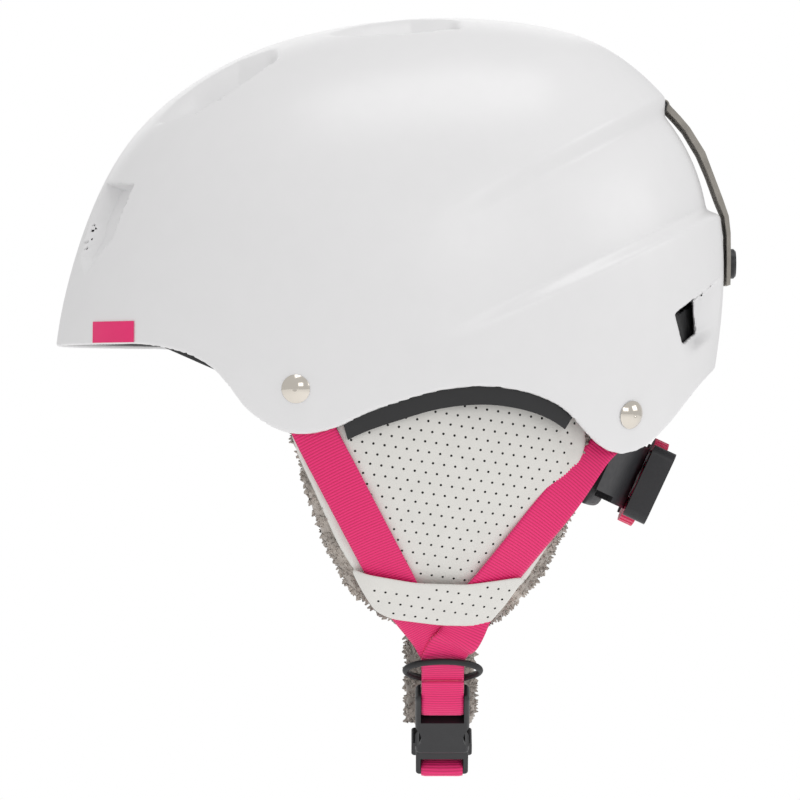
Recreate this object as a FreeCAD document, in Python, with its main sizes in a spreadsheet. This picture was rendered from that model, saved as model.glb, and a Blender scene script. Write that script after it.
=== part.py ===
import FreeCAD, Part
import Sketcher
import os
from math import atan2, cos, degrees, pi, radians, sin, sqrt

# Ski helmet.  Millimetres, +X is the wearer's left, -Y the front, +Z up.
# The origin is the head seat: the middle of the helmet, level with the brow edge.

Vector = FreeCAD.Vector
doc = FreeCAD.newDocument("ski_helmet")
sheet = doc.addObject("Spreadsheet::Sheet", "sizes")

driving = {
    # outer shell and liner
    "shellHalfWidth": 106, "shellPower": 2.3, "shellCentreHeight": 15, "shellWall": 2.5,
    "fitGap": 0.3, "linerInset": 24.5, "channelDepth": 5.5, "channelStart": 1.8,
    "padThick": 6,
    "rivetHeadRadius": 5.6, "rivetHeadRise": 2.4, "rivetShankRadius": 2, "washerRadius": 6.5,
    "washerThick": 1.2,
    # soft ear pads and webbing
    "cheekAxisX": -48, "cheekAxisZ": -20, "cheekRadius": 145.5, "cheekBow": 180,
    "cheekMiddle": -5, "earPadThick": 9, "webWidth": 17, "webThick": 1.4,
    "strapEnd": -109.6,
    # buckle and ring on the left leg
    "legLean": 39.7, "buckleWidth": 22, "buckleLength": 32.4, "buckleThick": 9, "buckleWall": 1.6,
    "maleFrame": 12.4, "maleThick": 6, "windowLow": 3.6, "windowHigh": 14.7,
    "ringWidth": 29.9, "ringDepth": 18.6, "ringWire": 2.6, "ringUp": 43.4, "ringTilt": 24,
    # fit dial and head bands
    "dialTilt": 25, "dialRadius": 18.75, "dialThick": 6, "knurlCount": 36, "knurlRadius": 0.9,
    "coverHeight": 31.6,
    "bandRing": 78.25, "bandThick": 1.1, "bandHeight": 17, "pinionTeeth": 10, "gearModule": 1,
    "axleRadius": 2, "axleBore": 2.05,
    # goggle strap keeper
    "keeperWidth": 20, "snapRadius": 6.2, "snapThick": 3,
}
for row, (alias, value) in enumerate(driving.items(), start=1):
    sheet.set("A%d" % row, alias)
    sheet.set("B%d" % row, str(value))
    sheet.setAlias("B%d" % row, alias)
doc.recompute()

pieces = []


def size(alias):
    return float(getattr(sheet, alias))


# ---------------------------------------------------------------- helpers: bodies and sketches

def newBody(label, placement=None):
    body = doc.addObject("PartDesign::Body", label)
    body.Label = label
    if placement is not None:
        body.Placement = placement
    pieces.append(body)
    return body


def sketchOn(body, role="XY_Plane", lift="0"):
    sketch = body.newObject("Sketcher::SketchObject", body.Name + "_sketch")
    plane = next(f for f in body.Origin.OriginFeatures if f.Role == role)
    sketch.AttachmentSupport = [(plane, "")]
    sketch.MapMode = "FlatFace"
    sketch.setExpression(".AttachmentOffset.Base.z", lift)
    return sketch


def evaluate(expression):
    return float(sheet.evalExpression(expression))


def bindPoint(sketch, element, end, x, y):
    for kind, expression in (("DistanceX", x), ("DistanceY", y)):
        index = sketch.addConstraint(Sketcher.Constraint(kind, -1, 1, element, end, evaluate(expression)))
        sketch.setExpression("Constraints[%d]" % index, expression)


def drawOutline(sketch, corners):
    """A closed outline whose corners are pairs of sheet expressions."""
    spots = [Vector(evaluate(x), evaluate(y), 0) for x, y in corners]
    first = sketch.GeometryCount
    for index, spot in enumerate(spots):
        sketch.addGeometry(Part.LineSegment(spot, spots[(index + 1) % len(spots)]), False)
    for index, (x, y) in enumerate(corners):
        follower = first + (index + 1) % len(spots)
        sketch.addConstraint(Sketcher.Constraint("Coincident", first + index, 2, follower, 1))
    for index, (x, y) in enumerate(corners):
        bindPoint(sketch, first + index, 1, x, y)


def drawCircle(sketch, x, y, radius):
    spot = Vector(evaluate(x), evaluate(y), 0)
    element = sketch.addGeometry(Part.Circle(spot, Vector(0, 0, 1), evaluate(radius)), False)
    bindPoint(sketch, element, 3, x, y)
    index = sketch.addConstraint(Sketcher.Constraint("Radius", element, evaluate(radius)))
    sketch.setExpression("Constraints[%d]" % index, radius)
    return element


def rectangle(left, low, right, high):
    return [(left, low), (right, low), (right, high), (left, high)]


def addPad(body, sketch, length, backwards=False):
    feature = body.newObject("PartDesign::Pad", body.Name + "_pad")
    feature.Profile = sketch
    feature.Reversed = backwards
    feature.setExpression("Length", length)
    doc.recompute()
    return feature


def addPocket(body, sketch, length=None):
    """Cuts both ways from the sketch when no length is given; checks that something was cut."""
    before = body.Shape.Volume
    feature = body.newObject("PartDesign::Pocket", body.Name + "_pocket")
    feature.Profile = sketch
    if length is None:
        feature.Type = 1
        feature.Midplane = True
    else:
        feature.setExpression("Length", length)
    doc.recompute()
    if body.Shape.Volume > before - 1e-3 and length is not None:
        feature.Reversed = True
        doc.recompute()
    if body.Shape.Volume > before - 1e-3:
        raise RuntimeError(body.Name + ": the pocket cuts nothing")
    return feature


def roundEdges(body, direction, radius, keep=lambda edge: True):
    """Rounds the straight edges that run along a local direction."""
    base = body.Tip
    names = []
    for index, edge in enumerate(base.Shape.Edges, start=1):
        if edge.Curve.TypeId != "Part::GeomLine":
            continue
        along = edge.Curve.Direction
        if abs(abs(along.dot(direction)) - 1) < 1e-6 and keep(edge):
            names.append("Edge%d" % index)
    feature = body.newObject("PartDesign::Fillet", body.Name + "_fillet")
    feature.Base = (base, names)
    feature.setExpression("Radius", radius)
    doc.recompute()
    return feature


def addFeature(label, shape):
    feature = doc.addObject("Part::Feature", label)
    feature.Label = label
    feature.Shape = shape
    pieces.append(feature)
    return feature


def mirrored(shape):
    return shape.mirror(Vector(0, 0, 0), Vector(1, 0, 0))


def frameAt(spot, across, up):
    """A placement whose local X and Y axes are the two given directions."""
    across = Vector(across).normalize()
    up = Vector(up).normalize()
    out = across.cross(up)
    matrix = FreeCAD.Matrix(across.x, up.x, out.x, spot.x, across.y, up.y, out.y, spot.y,
                            across.z, up.z, out.z, spot.z, 0, 0, 0, 1)
    return FreeCAD.Placement(matrix)


def placed(shape, placement):
    moved = shape.copy()
    moved.Placement = placement.multiply(moved.Placement)
    return moved


# ---------------------------------------------------------------- outer shell, liner and pads

# Side profile about the shell's centre: (angle from the rear towards the top, distance).
profile = [
    (-12, 135.7), (0, 136.3), (11, 139.3), (26, 143.6), (40, 142.6), (53, 138.6), (66, 129.8),
    (79, 122.9), (95, 118.8), (113, 120), (131, 124.4), (147, 128.7), (160, 130.4), (173, 133.4),
    (186, 139.4), (205, 149), (235, 151), (270, 150), (305, 149), (332, 141),
]
centre = Vector(0, 0, size("shellCentreHeight"))
halfWidth, power = size("shellHalfWidth"), size("shellPower")
stations = [0, 15, 30, 45, 58, 68, 76, 82, 87]


def dome(inset):
    """The closed egg of the shell, moved inwards: a loft of one profile scaled across the width."""
    width = halfWidth - inset
    wires = []
    for turn in [-angle for angle in stations[:0:-1]] + stations:
        across = sin(radians(turn))
        scale = (1 - abs(across) ** power) ** (1 / power)
        spots = [centre + Vector(width * across, (reach - inset) * scale * cos(radians(angle)),
                                 (reach - inset) * scale * sin(radians(angle)))
                 for angle, reach in profile]
        curve = Part.BSplineCurve()
        curve.interpolate(Points=spots, PeriodicFlag=True)
        wires.append(Part.Wire([curve.toShape()]))
    return Part.makeLoft(wires, True, False)


def domeX(inset, y, z):
    """Half the dome's width at a height and a place along its length."""
    angle = degrees(atan2(z - centre.z, y)) % 360
    turned = sorted(((a % 360, r) for a, r in profile))
    turned = [(turned[-1][0] - 360, turned[-1][1])] + turned + [(turned[0][0] + 360, turned[0][1])]
    for (low, lowReach), (high, highReach) in zip(turned, turned[1:]):
        if low <= angle <= high:
            reach = lowReach + (highReach - lowReach) * (angle - low) / (high - low)
    share = sqrt(y * y + (z - centre.z) ** 2) / (reach - inset)
    return (halfWidth - inset) * (1 - share ** power) ** (1 / power)


def sidePrism(wire, left=130, right=-130):
    face = Part.Face(wire)
    face.translate(Vector(right, 0, 0))
    return face.extrude(Vector(left - right, 0, 0))


def sideCurve(spots):
    curve = Part.BSplineCurve()
    curve.interpolate([Vector(0, y, z) for y, z in spots])
    return curve.toShape()


def sideWire(spots):
    corners = [Vector(0, y, z) for y, z in spots]
    return Part.makePolygon(corners + corners[:1])


# The rim from brow to nape: front lobe, ear arch, rear lobe and a slanted edge up to the nape.
rimSpots = [
    (-100, 0), (-87.4, -1.9), (-77.5, -5.1), (-69.2, -10.2), (-62.6, -17.8), (-57.2, -24.7),
    (-49.4, -31), (-41.5, -34.5), (-33.7, -35.3), (-25.9, -34.1), (-18.1, -31.4), (-8.4, -26.7),
    (3.3, -22.8), (15, -19.3), (26.6, -17.3), (38.3, -16.9), (50, -18.5), (57.9, -20.8),
    (65.8, -24.6), (71.7, -29.8), (77.7, -36.4), (83.6, -41.2), (90.5, -43.3), (98, -41.7),
    (104.5, -37.5),
]


def rimPrism(lift=0):
    """Everything above the rim curve, lifted."""
    raised = [(y, z + lift) for y, z in rimSpots]
    ends = [Vector(0, 104.5, -37.5 + lift), Vector(0, 133, -9.5 + lift), Vector(0, 170, -9.5 + lift),
            Vector(0, 170, 170), Vector(0, -170, 170), Vector(0, -170, lift), Vector(0, -100, lift)]
    edges = [sideCurve(raised)] + [Part.makeLine(a, b) for a, b in zip(ends, ends[1:])]
    return sidePrism(Part.Wire(edges))


def roundedSlot(x, y, width, length, low=20, high=170):
    """An upright slot with round ends, long in Y."""
    radius = width / 2
    reach = length / 2 - radius
    outline = Part.Wire([
        Part.Arc(Vector(x - radius, y - reach, low), Vector(x, y - reach - radius, low),
                 Vector(x + radius, y - reach, low)).toShape(),
        Part.makeLine(Vector(x + radius, y - reach, low), Vector(x + radius, y + reach, low)),
        Part.Arc(Vector(x + radius, y + reach, low), Vector(x, y + reach + radius, low),
                 Vector(x - radius, y + reach, low)).toShape(),
        Part.makeLine(Vector(x - radius, y + reach, low), Vector(x - radius, y - reach, low))])
    return Part.Face(outline).extrude(Vector(0, 0, high - low))


def bothSides(shape):
    return [shape, mirrored(shape)]


def boxBetween(low, high):
    return Part.makeBox(high[0] - low[0], high[1] - low[1], high[2] - low[2], Vector(*low))


# Vent openings through the shell, and the wider scoops and air channels behind them.
vents, airways = [], []
vents += bothSides(roundedSlot(30, -65, 16, 22)) + bothSides(roundedSlot(29, 10, 18, 26))
airways += bothSides(roundedSlot(31, -76, 29, 56)) + bothSides(roundedSlot(29, 0, 29, 56))
vents += bothSides(boxBetween((30, -140, 50), (44, -70, 62)))
airways += bothSides(boxBetween((23, -150, 30), (48, -60, 70)))
vents += bothSides(boxBetween((46, 80, 2.5), (61, 150, 18.5)))
airways += bothSides(boxBetween((43, 60, -2), (66, 150, 22)))

rim = rimPrism()
domeAt = {inset: dome(inset) for inset in (0, size("shellWall"))}
depth, wall = size("channelDepth"), size("shellWall")
shallow = size("channelStart")


def recessed(egg, margin, shallowInset, deepInset):
    """The egg with the goggle strap channel cut into both sides and the back, in two steps."""
    low = [(60, 17), (132.8, 51.9), (150, 60)]
    high = [(150, 125), (110, 102.5), (60, 74.7)]
    deepOutline = [(y - margin, z - margin) for y, z in low] + [(y - margin, z + margin) for y, z in high]
    shallowOutline = [(15 - margin, 5 - margin), (62, 18 - margin), (62, 76 + margin),
                      (15 - margin, 49 + margin)]
    egg = egg.cut(sidePrism(sideWire(shallowOutline)).cut(dome(shallowInset)))
    return egg.cut(sidePrism(sideWire(deepOutline)).cut(dome(deepInset)))


shellOuter = recessed(domeAt[0], 0, shallow, depth)
shellInner = recessed(domeAt[wall], wall, shallow + wall, depth + wall)
shell = shellOuter.cut(shellInner).common(rim).cut(Part.makeCompound(vents))
rivetSpots = [(-37.2, -17.7), (94.6, -27.9)]

gap = size("fitGap")
linerRim = [(-170, 2), (-95, 1), (-72, -9), (-60, -14), (104, -14), (120, -7), (170, -7),
            (170, 170), (-170, 170)]
linerTop = recessed(dome(wall + gap), wall + gap, shallow + wall + gap, depth + wall + gap)
inset = size("linerInset")
innerEgg = dome(inset)

# The fit ring: its centre, the direction back to the dial and the direction up through it.
tilt = radians(size("dialTilt"))
ringCentre = Vector(0, 26.7, -19.9)
backwards = Vector(0, cos(tilt), -sin(tilt))
upwards = Vector(0, sin(tilt), cos(tilt))
ringClearance = Part.makeCylinder(size("bandRing") + 3.75, 34, ringCentre - upwards * 17, upwards)

liner = linerTop.cut(innerEgg).common(sidePrism(sideWire(linerRim)))
liner = liner.cut(Part.makeCompound(airways)).cut(ringClearance)
strapPocket = domeAt[wall].cut(dome(10)).common(boxBetween((-130, -50, -30), (130, -26, -2)))
rearPocket = domeAt[wall].cut(dome(12)).common(boxBetween((-130, 82, -40), (130, 116, -6)))
liner = liner.cut(strapPocket).cut(rearPocket)

trimOutline = Part.Wire([
    Part.makeLine(Vector(0, 80, -14.3), Vector(0, -24, -14.3)),
    Part.makeLine(Vector(0, -24, -14.3), Vector(0, -17, -37.6)),
    sideCurve([(-17, -37.6), (-8.4, -33.7), (3.3, -29.8), (15, -26.3), (26.6, -24.3), (38.3, -23.9),
               (50, -25.5), (57.9, -27.8), (68, -33.5)]),
    Part.makeLine(Vector(0, 68, -33.5), Vector(0, 80, -14.3))])
earTrim = dome(wall + gap).cut(dome(7.5)).common(sidePrism(trimOutline, 130, 20))

padInset = inset + gap
padLayer = dome(padInset).cut(dome(padInset + size("padThick")))
browPad = padLayer.common(boxBetween((-78, -130, 4), (78, -52, 26)))
crownPad = padLayer.common(roundedSlot(0, 2, 84, 96, 60, 150))
sidePad = padLayer.common(sidePrism(sideWire([(-38, 8), (-30, 3), (34, 3), (42, 8), (42, 34),
                                              (34, 40), (-30, 40), (-38, 34)]), 120, 20))

screenLayer = dome(wall + 0.6).cut(dome(wall + 1.6))
ventScreens = {
    "top_front": screenLayer.common(roundedSlot(31, -76, 27, 54, 60, 150)),
    "top_middle": screenLayer.common(roundedSlot(29, 0, 27, 54, 60, 150)),
    "rear": screenLayer.common(boxBetween((43.5, 70, -1.5), (65.5, 150, 21.5))),
}

# ---------------------------------------------------------------- ear pads, webbing and rivets

cheekAxis = Vector(size("cheekAxisX"), 0, size("cheekAxisZ"))
bow, middle = size("cheekBow"), size("cheekMiddle")


def cheekSlab(low, high):
    """The barrel-shaped layer over the cheek between two heights above the ear pad's face."""
    hub = Vector(cheekAxis.x + size("cheekRadius") - bow, middle, cheekAxis.z)

    def spot(lift, y):
        reach = bow + lift
        return hub + Vector(sqrt(reach ** 2 - (y - middle) ** 2), y - middle, 0)

    front, back = -58, 112
    edges = [Part.Arc(spot(high, front), spot(high, 20), spot(high, back)).toShape(),
             Part.makeLine(spot(high, back), spot(low, back)),
             Part.Arc(spot(low, back), spot(low, 20), spot(low, front)).toShape(),
             Part.makeLine(spot(low, front), spot(high, front))]
    face = Part.Face(Part.Wire(edges))
    face.rotate(cheekAxis, Vector(0, 1, 0), -12)
    return face.revolve(cheekAxis, Vector(0, 1, 0), 64)


def strip(route, width):
    """The side outline of a strap of constant width along a route of points."""
    spots = [Vector(0, y, z) for y, z in route]
    steps = [(b - a).normalize() for a, b in zip(spots, spots[1:])]
    left, right = [], []
    for index, spot in enumerate(spots):
        near = steps[max(index - 1, 0)]
        far = steps[min(index, len(steps) - 1)]
        along = (near + far).normalize()
        side = Vector(0, -along.z, along.y) * (width / 2 / along.dot(far))
        left.append(spot + side)
        right.append(spot - side)
    ring = left + right[::-1]
    return Part.makePolygon(ring + ring[:1])


def cheekPiece(wire, low, high):
    return cheekSlab(low, high).common(sidePrism(wire, 120, 20))


liningOutline = [(-42, -18), (-41, -32), (-39.4, -41), (-35.9, -57), (-28.3, -79), (-18.5, -97),
                 (-8.6, -106), (3.3, -111.5), (14, -113.5), (28, -114.3), (38, -112.8), (47, -106.5),
                 (57, -97), (64.5, -86), (71, -73), (76, -61), (79, -48), (80, -36), (78, -18)]
coverOutline = [(-41, -19), (-39.5, -34), (-36.5, -44), (-31, -56), (-21.5, -78), (-14, -91),
                (-7, -101), (1, -107.5), (13, -110.3), (34, -110.3), (44, -104), (54, -93), (62, -80),
                (68, -66), (74, -52), (77, -38), (76, -19)]
loopOutline = [(-16.5, -88), (-9.8, -90.7), (9.7, -94.2), (30, -95), (53, -92), (37.9, -112.3),
               (19.2, -110.8), (0, -108.9), (-6.6, -105.7)]
web = size("webThick")
coverDepth = 2.4
padDepth = size("earPadThick")
loopLow = 2 * web + 2 * gap

rivetRadius, rivetRise = size("rivetHeadRadius"), size("rivetHeadRise")


def shellNormal(y, z):
    across = domeX(0, y, z)
    step = 0.5
    slopeY = (domeX(0, y + step, z) - domeX(0, y - step, z)) / (2 * step)
    slopeZ = (domeX(0, y, z + step) - domeX(0, y, z - step)) / (2 * step)
    return Vector(across, y, z), Vector(1, -slopeY, -slopeZ).normalize()


def rivetShape(y, z, shank):
    """A domed rivet: a cap on the shell and a shank through shell and webbing."""
    foot, out = shellNormal(y, z)
    ball = (rivetRadius ** 2 + rivetRise ** 2) / (2 * rivetRise)
    head = Part.makeSphere(ball, foot + out * (rivetRise + 0.2 - ball), out)
    head = head.common(Part.makeCylinder(rivetRadius + 0.01, 8, foot + out * 0.2, out))
    return head.fuse(Part.makeCylinder(size("rivetShankRadius"), shank, foot + out * 0.3, out * -1))


def boreShape(y, z, radius, length, start=0):
    foot, out = shellNormal(y, z)
    return Part.makeCylinder(radius, length, foot - out * start, out * -1)


shanks = [9.6, 10.8]
washerDepths = [8.7, 9.9]
rivets, washers, bores, padPockets = [], [], [], []
for (y, z), shank, washerDepth in zip(rivetSpots, shanks, washerDepths):
    rivets.append(rivetShape(y, z, shank))
    ring = boreShape(y, z, size("washerRadius"), size("washerThick"), washerDepth)
    washers.append(ring.cut(boreShape(y, z, size("rivetShankRadius") + 0.05, 30)))
    bores.append(boreShape(y, z, size("rivetShankRadius") + 0.1, 40, -5))
    padPockets.append(boreShape(y, z, size("washerRadius") + 1, 20, 3))
bores = Part.makeCompound(bores)
padPockets = Part.makeCompound(padPockets)

frontRoute = [(-40.5, -9), (-37.2, -17.7), (-29.8, -35), (0, -92.5), (12, -117)]
rearRoute = [(101, -19), (94.6, -27.9), (80.1, -44.8), (41.1, -93.2), (22, -117)]
strapZone = boxBetween((0, -60, size("strapEnd")), (130, 120, 10))
trimRoom = boxBetween((0, -26, -42), (130, 84, 0)).cut(dome(7.5 + gap))
webWidth = size("webWidth")
cheek = {
    "ear_pad_lining": cheekPiece(sideWire(liningOutline), -padDepth, -coverDepth - gap),
    "ear_pad_cover": cheekPiece(sideWire(coverOutline), -coverDepth, 0),
    "ear_pad_loop": cheekPiece(sideWire(loopOutline), loopLow, loopLow + 1.2),
    "front_strap": cheekPiece(strip(frontRoute, webWidth), gap, gap + web).common(strapZone),
    "rear_strap": cheekPiece(strip(rearRoute, webWidth), gap, gap + web).common(strapZone),
}
for label in ("ear_pad_lining", "ear_pad_cover"):
    cheek[label] = cheek[label].cut(padPockets).cut(trimRoom)
frontCover = cheek["front_strap"].cut(cheek["rear_strap"])
cheek["front_strap"] = frontCover.cut(bores)
cheek["rear_strap"] = cheek["rear_strap"].cut(bores)

# ---------------------------------------------------------------- chin strap, ring and buckle

# The left leg leans inwards under the ear pad.  Its frame stands where the two buckle halves part:
# local X runs rearwards, local Y up the leg and local Z outwards.
lean = radians(size("legLean"))
legUp = Vector(sin(lean), 0, cos(lean))
legTop = Vector(63.85, 20.5, -112.86)
legFrame = frameAt(legTop - legUp * 66.7, Vector(0, 1, 0), legUp)

half = "sizes.buckleWidth / 2"
female = newBody("buckle_female", legFrame)
base = sketchOn(female, "XY_Plane", "-sizes.buckleThick / 2")
drawOutline(base, rectangle("-" + half, "0", half, "sizes.buckleLength"))
addPad(female, base, "sizes.buckleThick")
roundEdges(female, Vector(0, 0, 1), "2.2")
roundEdges(female, Vector(0, 1, 0), "1.8")
mouth = sketchOn(female, "XZ_Plane", "0")
inner = "(sizes.buckleWidth / 2 - sizes.buckleWall)"
innerRise = "(sizes.buckleThick / 2 - sizes.buckleWall)"
drawOutline(mouth, rectangle("-" + inner, "-" + innerRise, inner, innerRise))
addPocket(female, mouth, "16.5")
window = sketchOn(female)
drawCircle(window, "15.5", "(sizes.windowLow + sizes.windowHigh) / 2", "7")
drawCircle(window, "-15.5", "(sizes.windowLow + sizes.windowHigh) / 2", "7")
addPocket(female, window)
slot = sketchOn(female)
drawOutline(slot, rectangle("-8.8", "18", "8.8", "22.4"))
drawOutline(slot, rectangle("-8.8", "28", "8.8", "sizes.buckleLength + 1"))
addPocket(female, slot)
for raised in (True, False):  # the bar is thinner than the body, above and below
    thin = sketchOn(female, "XY_Plane", "2.5" if raised else "-2.5")
    drawOutline(thin, rectangle("-8.8", "22", "8.8", "28.5"))
    trough = female.newObject("PartDesign::Pocket", "female_bar")
    trough.Profile = thin
    trough.Reversed = raised
    trough.setExpression("Length", "4")
    doc.recompute()

male = newBody("buckle_male", legFrame)
base = sketchOn(male, "XY_Plane", "-sizes.maleThick / 2")
drawOutline(base, rectangle("-10.7", "-sizes.maleFrame", "10.7", "-0.3"))
addPad(male, base, "sizes.maleThick")
roundEdges(male, Vector(0, 0, 1), "1.6")
tongue = sketchOn(male, "XY_Plane", "-1.8")
drawOutline(tongue, rectangle("-2.2", "-1", "2.2", "13"))
addPad(male, tongue, "3.6")
eye = sketchOn(male)
drawOutline(eye, rectangle("-8.8", "-9.6", "8.8", "-4"))
addPocket(male, eye)

for label, side in (("buckle_prong_rear", ""), ("buckle_prong_front", "-")):
    prong = newBody(label, legFrame)
    arm = sketchOn(prong, "XY_Plane", "-2.3")
    drawOutline(arm, [(side + "6", "0.1"), (side + "7.6", "0.1"), (side + "8.4", "4"),
                      (side + "9.0", "9"), (side + "8.2", "14"), (side + "6.8", "15.6"),
                      (side + "5.6", "15"), (side + "6.6", "9")])
    addPad(prong, arm, "4.6")

chinWeb = newBody("chin_webbing_left", legFrame)
halfWeb = "sizes.webWidth / 2"
loop = sketchOn(chinWeb, "YZ_Plane", "-" + halfWeb)
drawOutline(loop, [("20.4", "-4.2"), ("28.6", "-4.2"), ("32.8", "-sizes.webThick"),
                   ("65", "-sizes.webThick"), ("65", "sizes.webThick"),
                   ("32.8", "sizes.webThick"), ("28.6", "4.2"), ("20.4", "4.2")])
drawOutline(loop, [("21.8", "-2.8"), ("28.3", "-2.8"), ("31.6", "0"), ("28.3", "2.8"), ("21.8", "2.8")])
addPad(chinWeb, loop, "sizes.webWidth")
flare = sketchOn(chinWeb, "XY_Plane", "-sizes.webThick")
drawOutline(flare, [("-" + halfWeb, "55"), (halfWeb, "55"), ("15", "65"), ("-15", "65")])
addPad(chinWeb, flare, "2 * sizes.webThick")

# The right leg stands almost square to the left one, so it is drawn in the same frame.
rightWeb = newBody("chin_webbing_right", legFrame)
eyeLoop = sketchOn(rightWeb, "YZ_Plane", "-" + halfWeb)
drawOutline(eyeLoop, [("-14.1", "4.7"), ("-14.1", "-4.7"), ("-12.6", "-9"), ("-12.4", "-87"),
                      ("-9.6", "-87"), ("-9.4", "-9"), ("-7.9", "-4.7"), ("-7.9", "4.7")])
drawOutline(eyeLoop, rectangle("-12.7", "-3.3", "-9.3", "3.3"))
addPad(rightWeb, eyeLoop, "sizes.webWidth")

slider = newBody("strap_slider", legFrame)
block = sketchOn(slider, "XY_Plane", "-19")
drawOutline(block, rectangle("-12.5", "-14.6", "12.5", "-7.4"))
addPad(slider, block, "9")
roundEdges(slider, Vector(0, 0, 1), "1.4")
passage = sketchOn(slider)
drawOutline(passage, rectangle("-8.8", "-12.8", "8.8", "-9.2"))
addPocket(slider, passage)

chinPad = newBody("chin_pad", legFrame)
cushion = sketchOn(chinPad, "XY_Plane", "-79")
drawOutline(cushion, rectangle("-15", "-9.1", "15", "-0.8"))
addPad(chinPad, cushion, "58")
roundEdges(chinPad, Vector(0, 0, 1), "3.2")

path = Part.Ellipse(Vector(0, 0, 0), size("ringWidth") / 2, size("ringDepth") / 2).toShape()
rubber = Part.Wire([Part.Circle(Vector(size("ringWidth") / 2, 0, 0), Vector(0, 1, 0),
                                size("ringWire") / 2).toShape()])
oval = Part.Wire([path]).makePipeShell([rubber], True, False)
turned = FreeCAD.Placement(Vector(0, size("ringUp"), 0),
                           FreeCAD.Rotation(Vector(1, 0, 0), size("ringTilt")))
keeperRing = placed(oval, legFrame.multiply(turned))

# ---------------------------------------------------------------- fit ring, dial and cradle

bandRing = size("bandRing")
fitFrame = frameAt(ringCentre + backwards * bandRing, Vector(-1, 0, 0), upwards)


def ringSector(inner, outer, low, high, start, stop):
    """A piece of a ring round the fit axis; angles run from the dial towards the wearer's left."""
    spots = [ringCentre + backwards * reach + upwards * level
             for reach, level in ((inner, low), (outer, low), (outer, high), (inner, high))]
    face = Part.Face(Part.makePolygon(spots + spots[:1]))
    down = upwards * -1
    face.rotate(ringCentre, down, start)
    return face.revolve(ringCentre, down, stop - start)


pitch = pi * size("gearModule")
toothAngle = degrees(pitch / bandRing)
windowAngle = degrees(16 / bandRing)
endAngle = degrees(19.5 / bandRing)
thick, bandHalf = size("bandThick"), size("bandHeight") / 2


def headBand(side):
    """A curved band with a toothed slot; side is 1 for the left band, -1 for the right one."""
    inner = bandRing - 0.25 - thick if side > 0 else bandRing + 0.25
    outer = inner + thick
    band = ringSector(inner, outer, -bandHalf, bandHalf, -endAngle, 118)
    low, high = (-6.4, 6.25) if side > 0 else (-6.25, 6.4)
    band = band.cut(ringSector(inner - 1, outer + 1, low, high, -windowAngle, windowAngle))
    teeth = []
    for step in range(-5, 5):
        halves = ((0.33, 4.2), (1.25, 6.3))
        spots = [ringCentre + upwards * level + Vector(across, 0, 0)
                 for across, level in ((-halves[1][0], 6.3), (-halves[0][0], 4.2),
                                       (halves[0][0], 4.2), (halves[1][0], 6.3))]
        face = Part.Face(Part.makePolygon(spots + spots[:1]))
        face.translate(backwards * inner)
        tooth = face.extrude(backwards * thick)
        tooth.rotate(ringCentre, upwards, (step + 0.5) * toothAngle)
        teeth.append(tooth)
    band = band.fuse(teeth) if side > 0 else band
    if side < 0:
        for tooth in teeth:
            tooth.rotate(ringCentre, backwards, 180)
        band = band.fuse(teeth)
        band = mirrored(band)
    return band.removeSplitter()


leftBand, rightBand = headBand(1), headBand(-1)

housing = ringSector(74.2, 76.3, -13.5, 13.5, -24, 24)
for low, high in ((-13.5, -9.1), (9.1, 13.5)):
    housing = housing.fuse(ringSector(76.2, 79.9, low, high, -24, 24))
housing = housing.removeSplitter()
cradle = ringSector(80.2, 82.2, -13.5, 13.5, -24.5, 24.5)
for start, stop in ((-36, -24), (24, 36)):
    cradle = cradle.fuse(ringSector(80.2, 82.2, -11, 40, start, stop))
hubHole = Part.makeCylinder(7, 30, ringCentre + backwards * 70, backwards)
axleHole = Part.makeCylinder(size("axleRadius") + 0.02, 30, ringCentre + backwards * 60, backwards)
cradle = cradle.removeSplitter().cut(hubHole)
housing = housing.cut(axleHole)
liner = liner.cut(Part.makeCompound([ringSector(79.6, 82.8, 6, 41, 23, 37),
                                     ringSector(79.6, 82.8, 6, 41, -37, -23)]))
napePad = ringSector(65.3, 72.5, -19, 9, -28, 28)
guide = ringSector(75.6, 82, -10.5, 10.5, 96, 110).cut(ringSector(76.6, 79.9, -9, 9, 90, 116))
liner = liner.cut(guide.fuse(mirrored(guide)))

dial = newBody("fit_dial", fitFrame)
disc = sketchOn(dial, "XY_Plane", "4.3")
drawCircle(disc, "0", "0", "sizes.dialRadius")
addPad(dial, disc, "sizes.dialThick")
recess = sketchOn(dial, "XY_Plane", "4.3")
drawCircle(recess, "0", "0", "13.6")
drawCircle(recess, "0", "0", "8.4")
addPocket(dial, recess, "3")
grip = sketchOn(dial, "XY_Plane", "4.3")
drawCircle(grip, "sizes.dialRadius + 0.25", "0", "sizes.knurlRadius")
notch = dial.newObject("PartDesign::Pocket", "grip_notch")
notch.Profile = grip
notch.Reversed = True
notch.setExpression("Length", "sizes.dialThick")
doc.recompute()
knurls = dial.newObject("PartDesign::PolarPattern", "grip_notches")
knurls.Originals = [notch]
knurls.Axis = (next(f for f in dial.Origin.OriginFeatures if f.Role == "Z_Axis"), [""])
knurls.setExpression("Occurrences", "sizes.knurlCount")
dial.Tip = knurls
doc.recompute()
bore = sketchOn(dial, "XY_Plane", "4.3")
drawCircle(bore, "0", "0", "sizes.axleBore")
addPocket(dial, bore, "sizes.dialThick")

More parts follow.
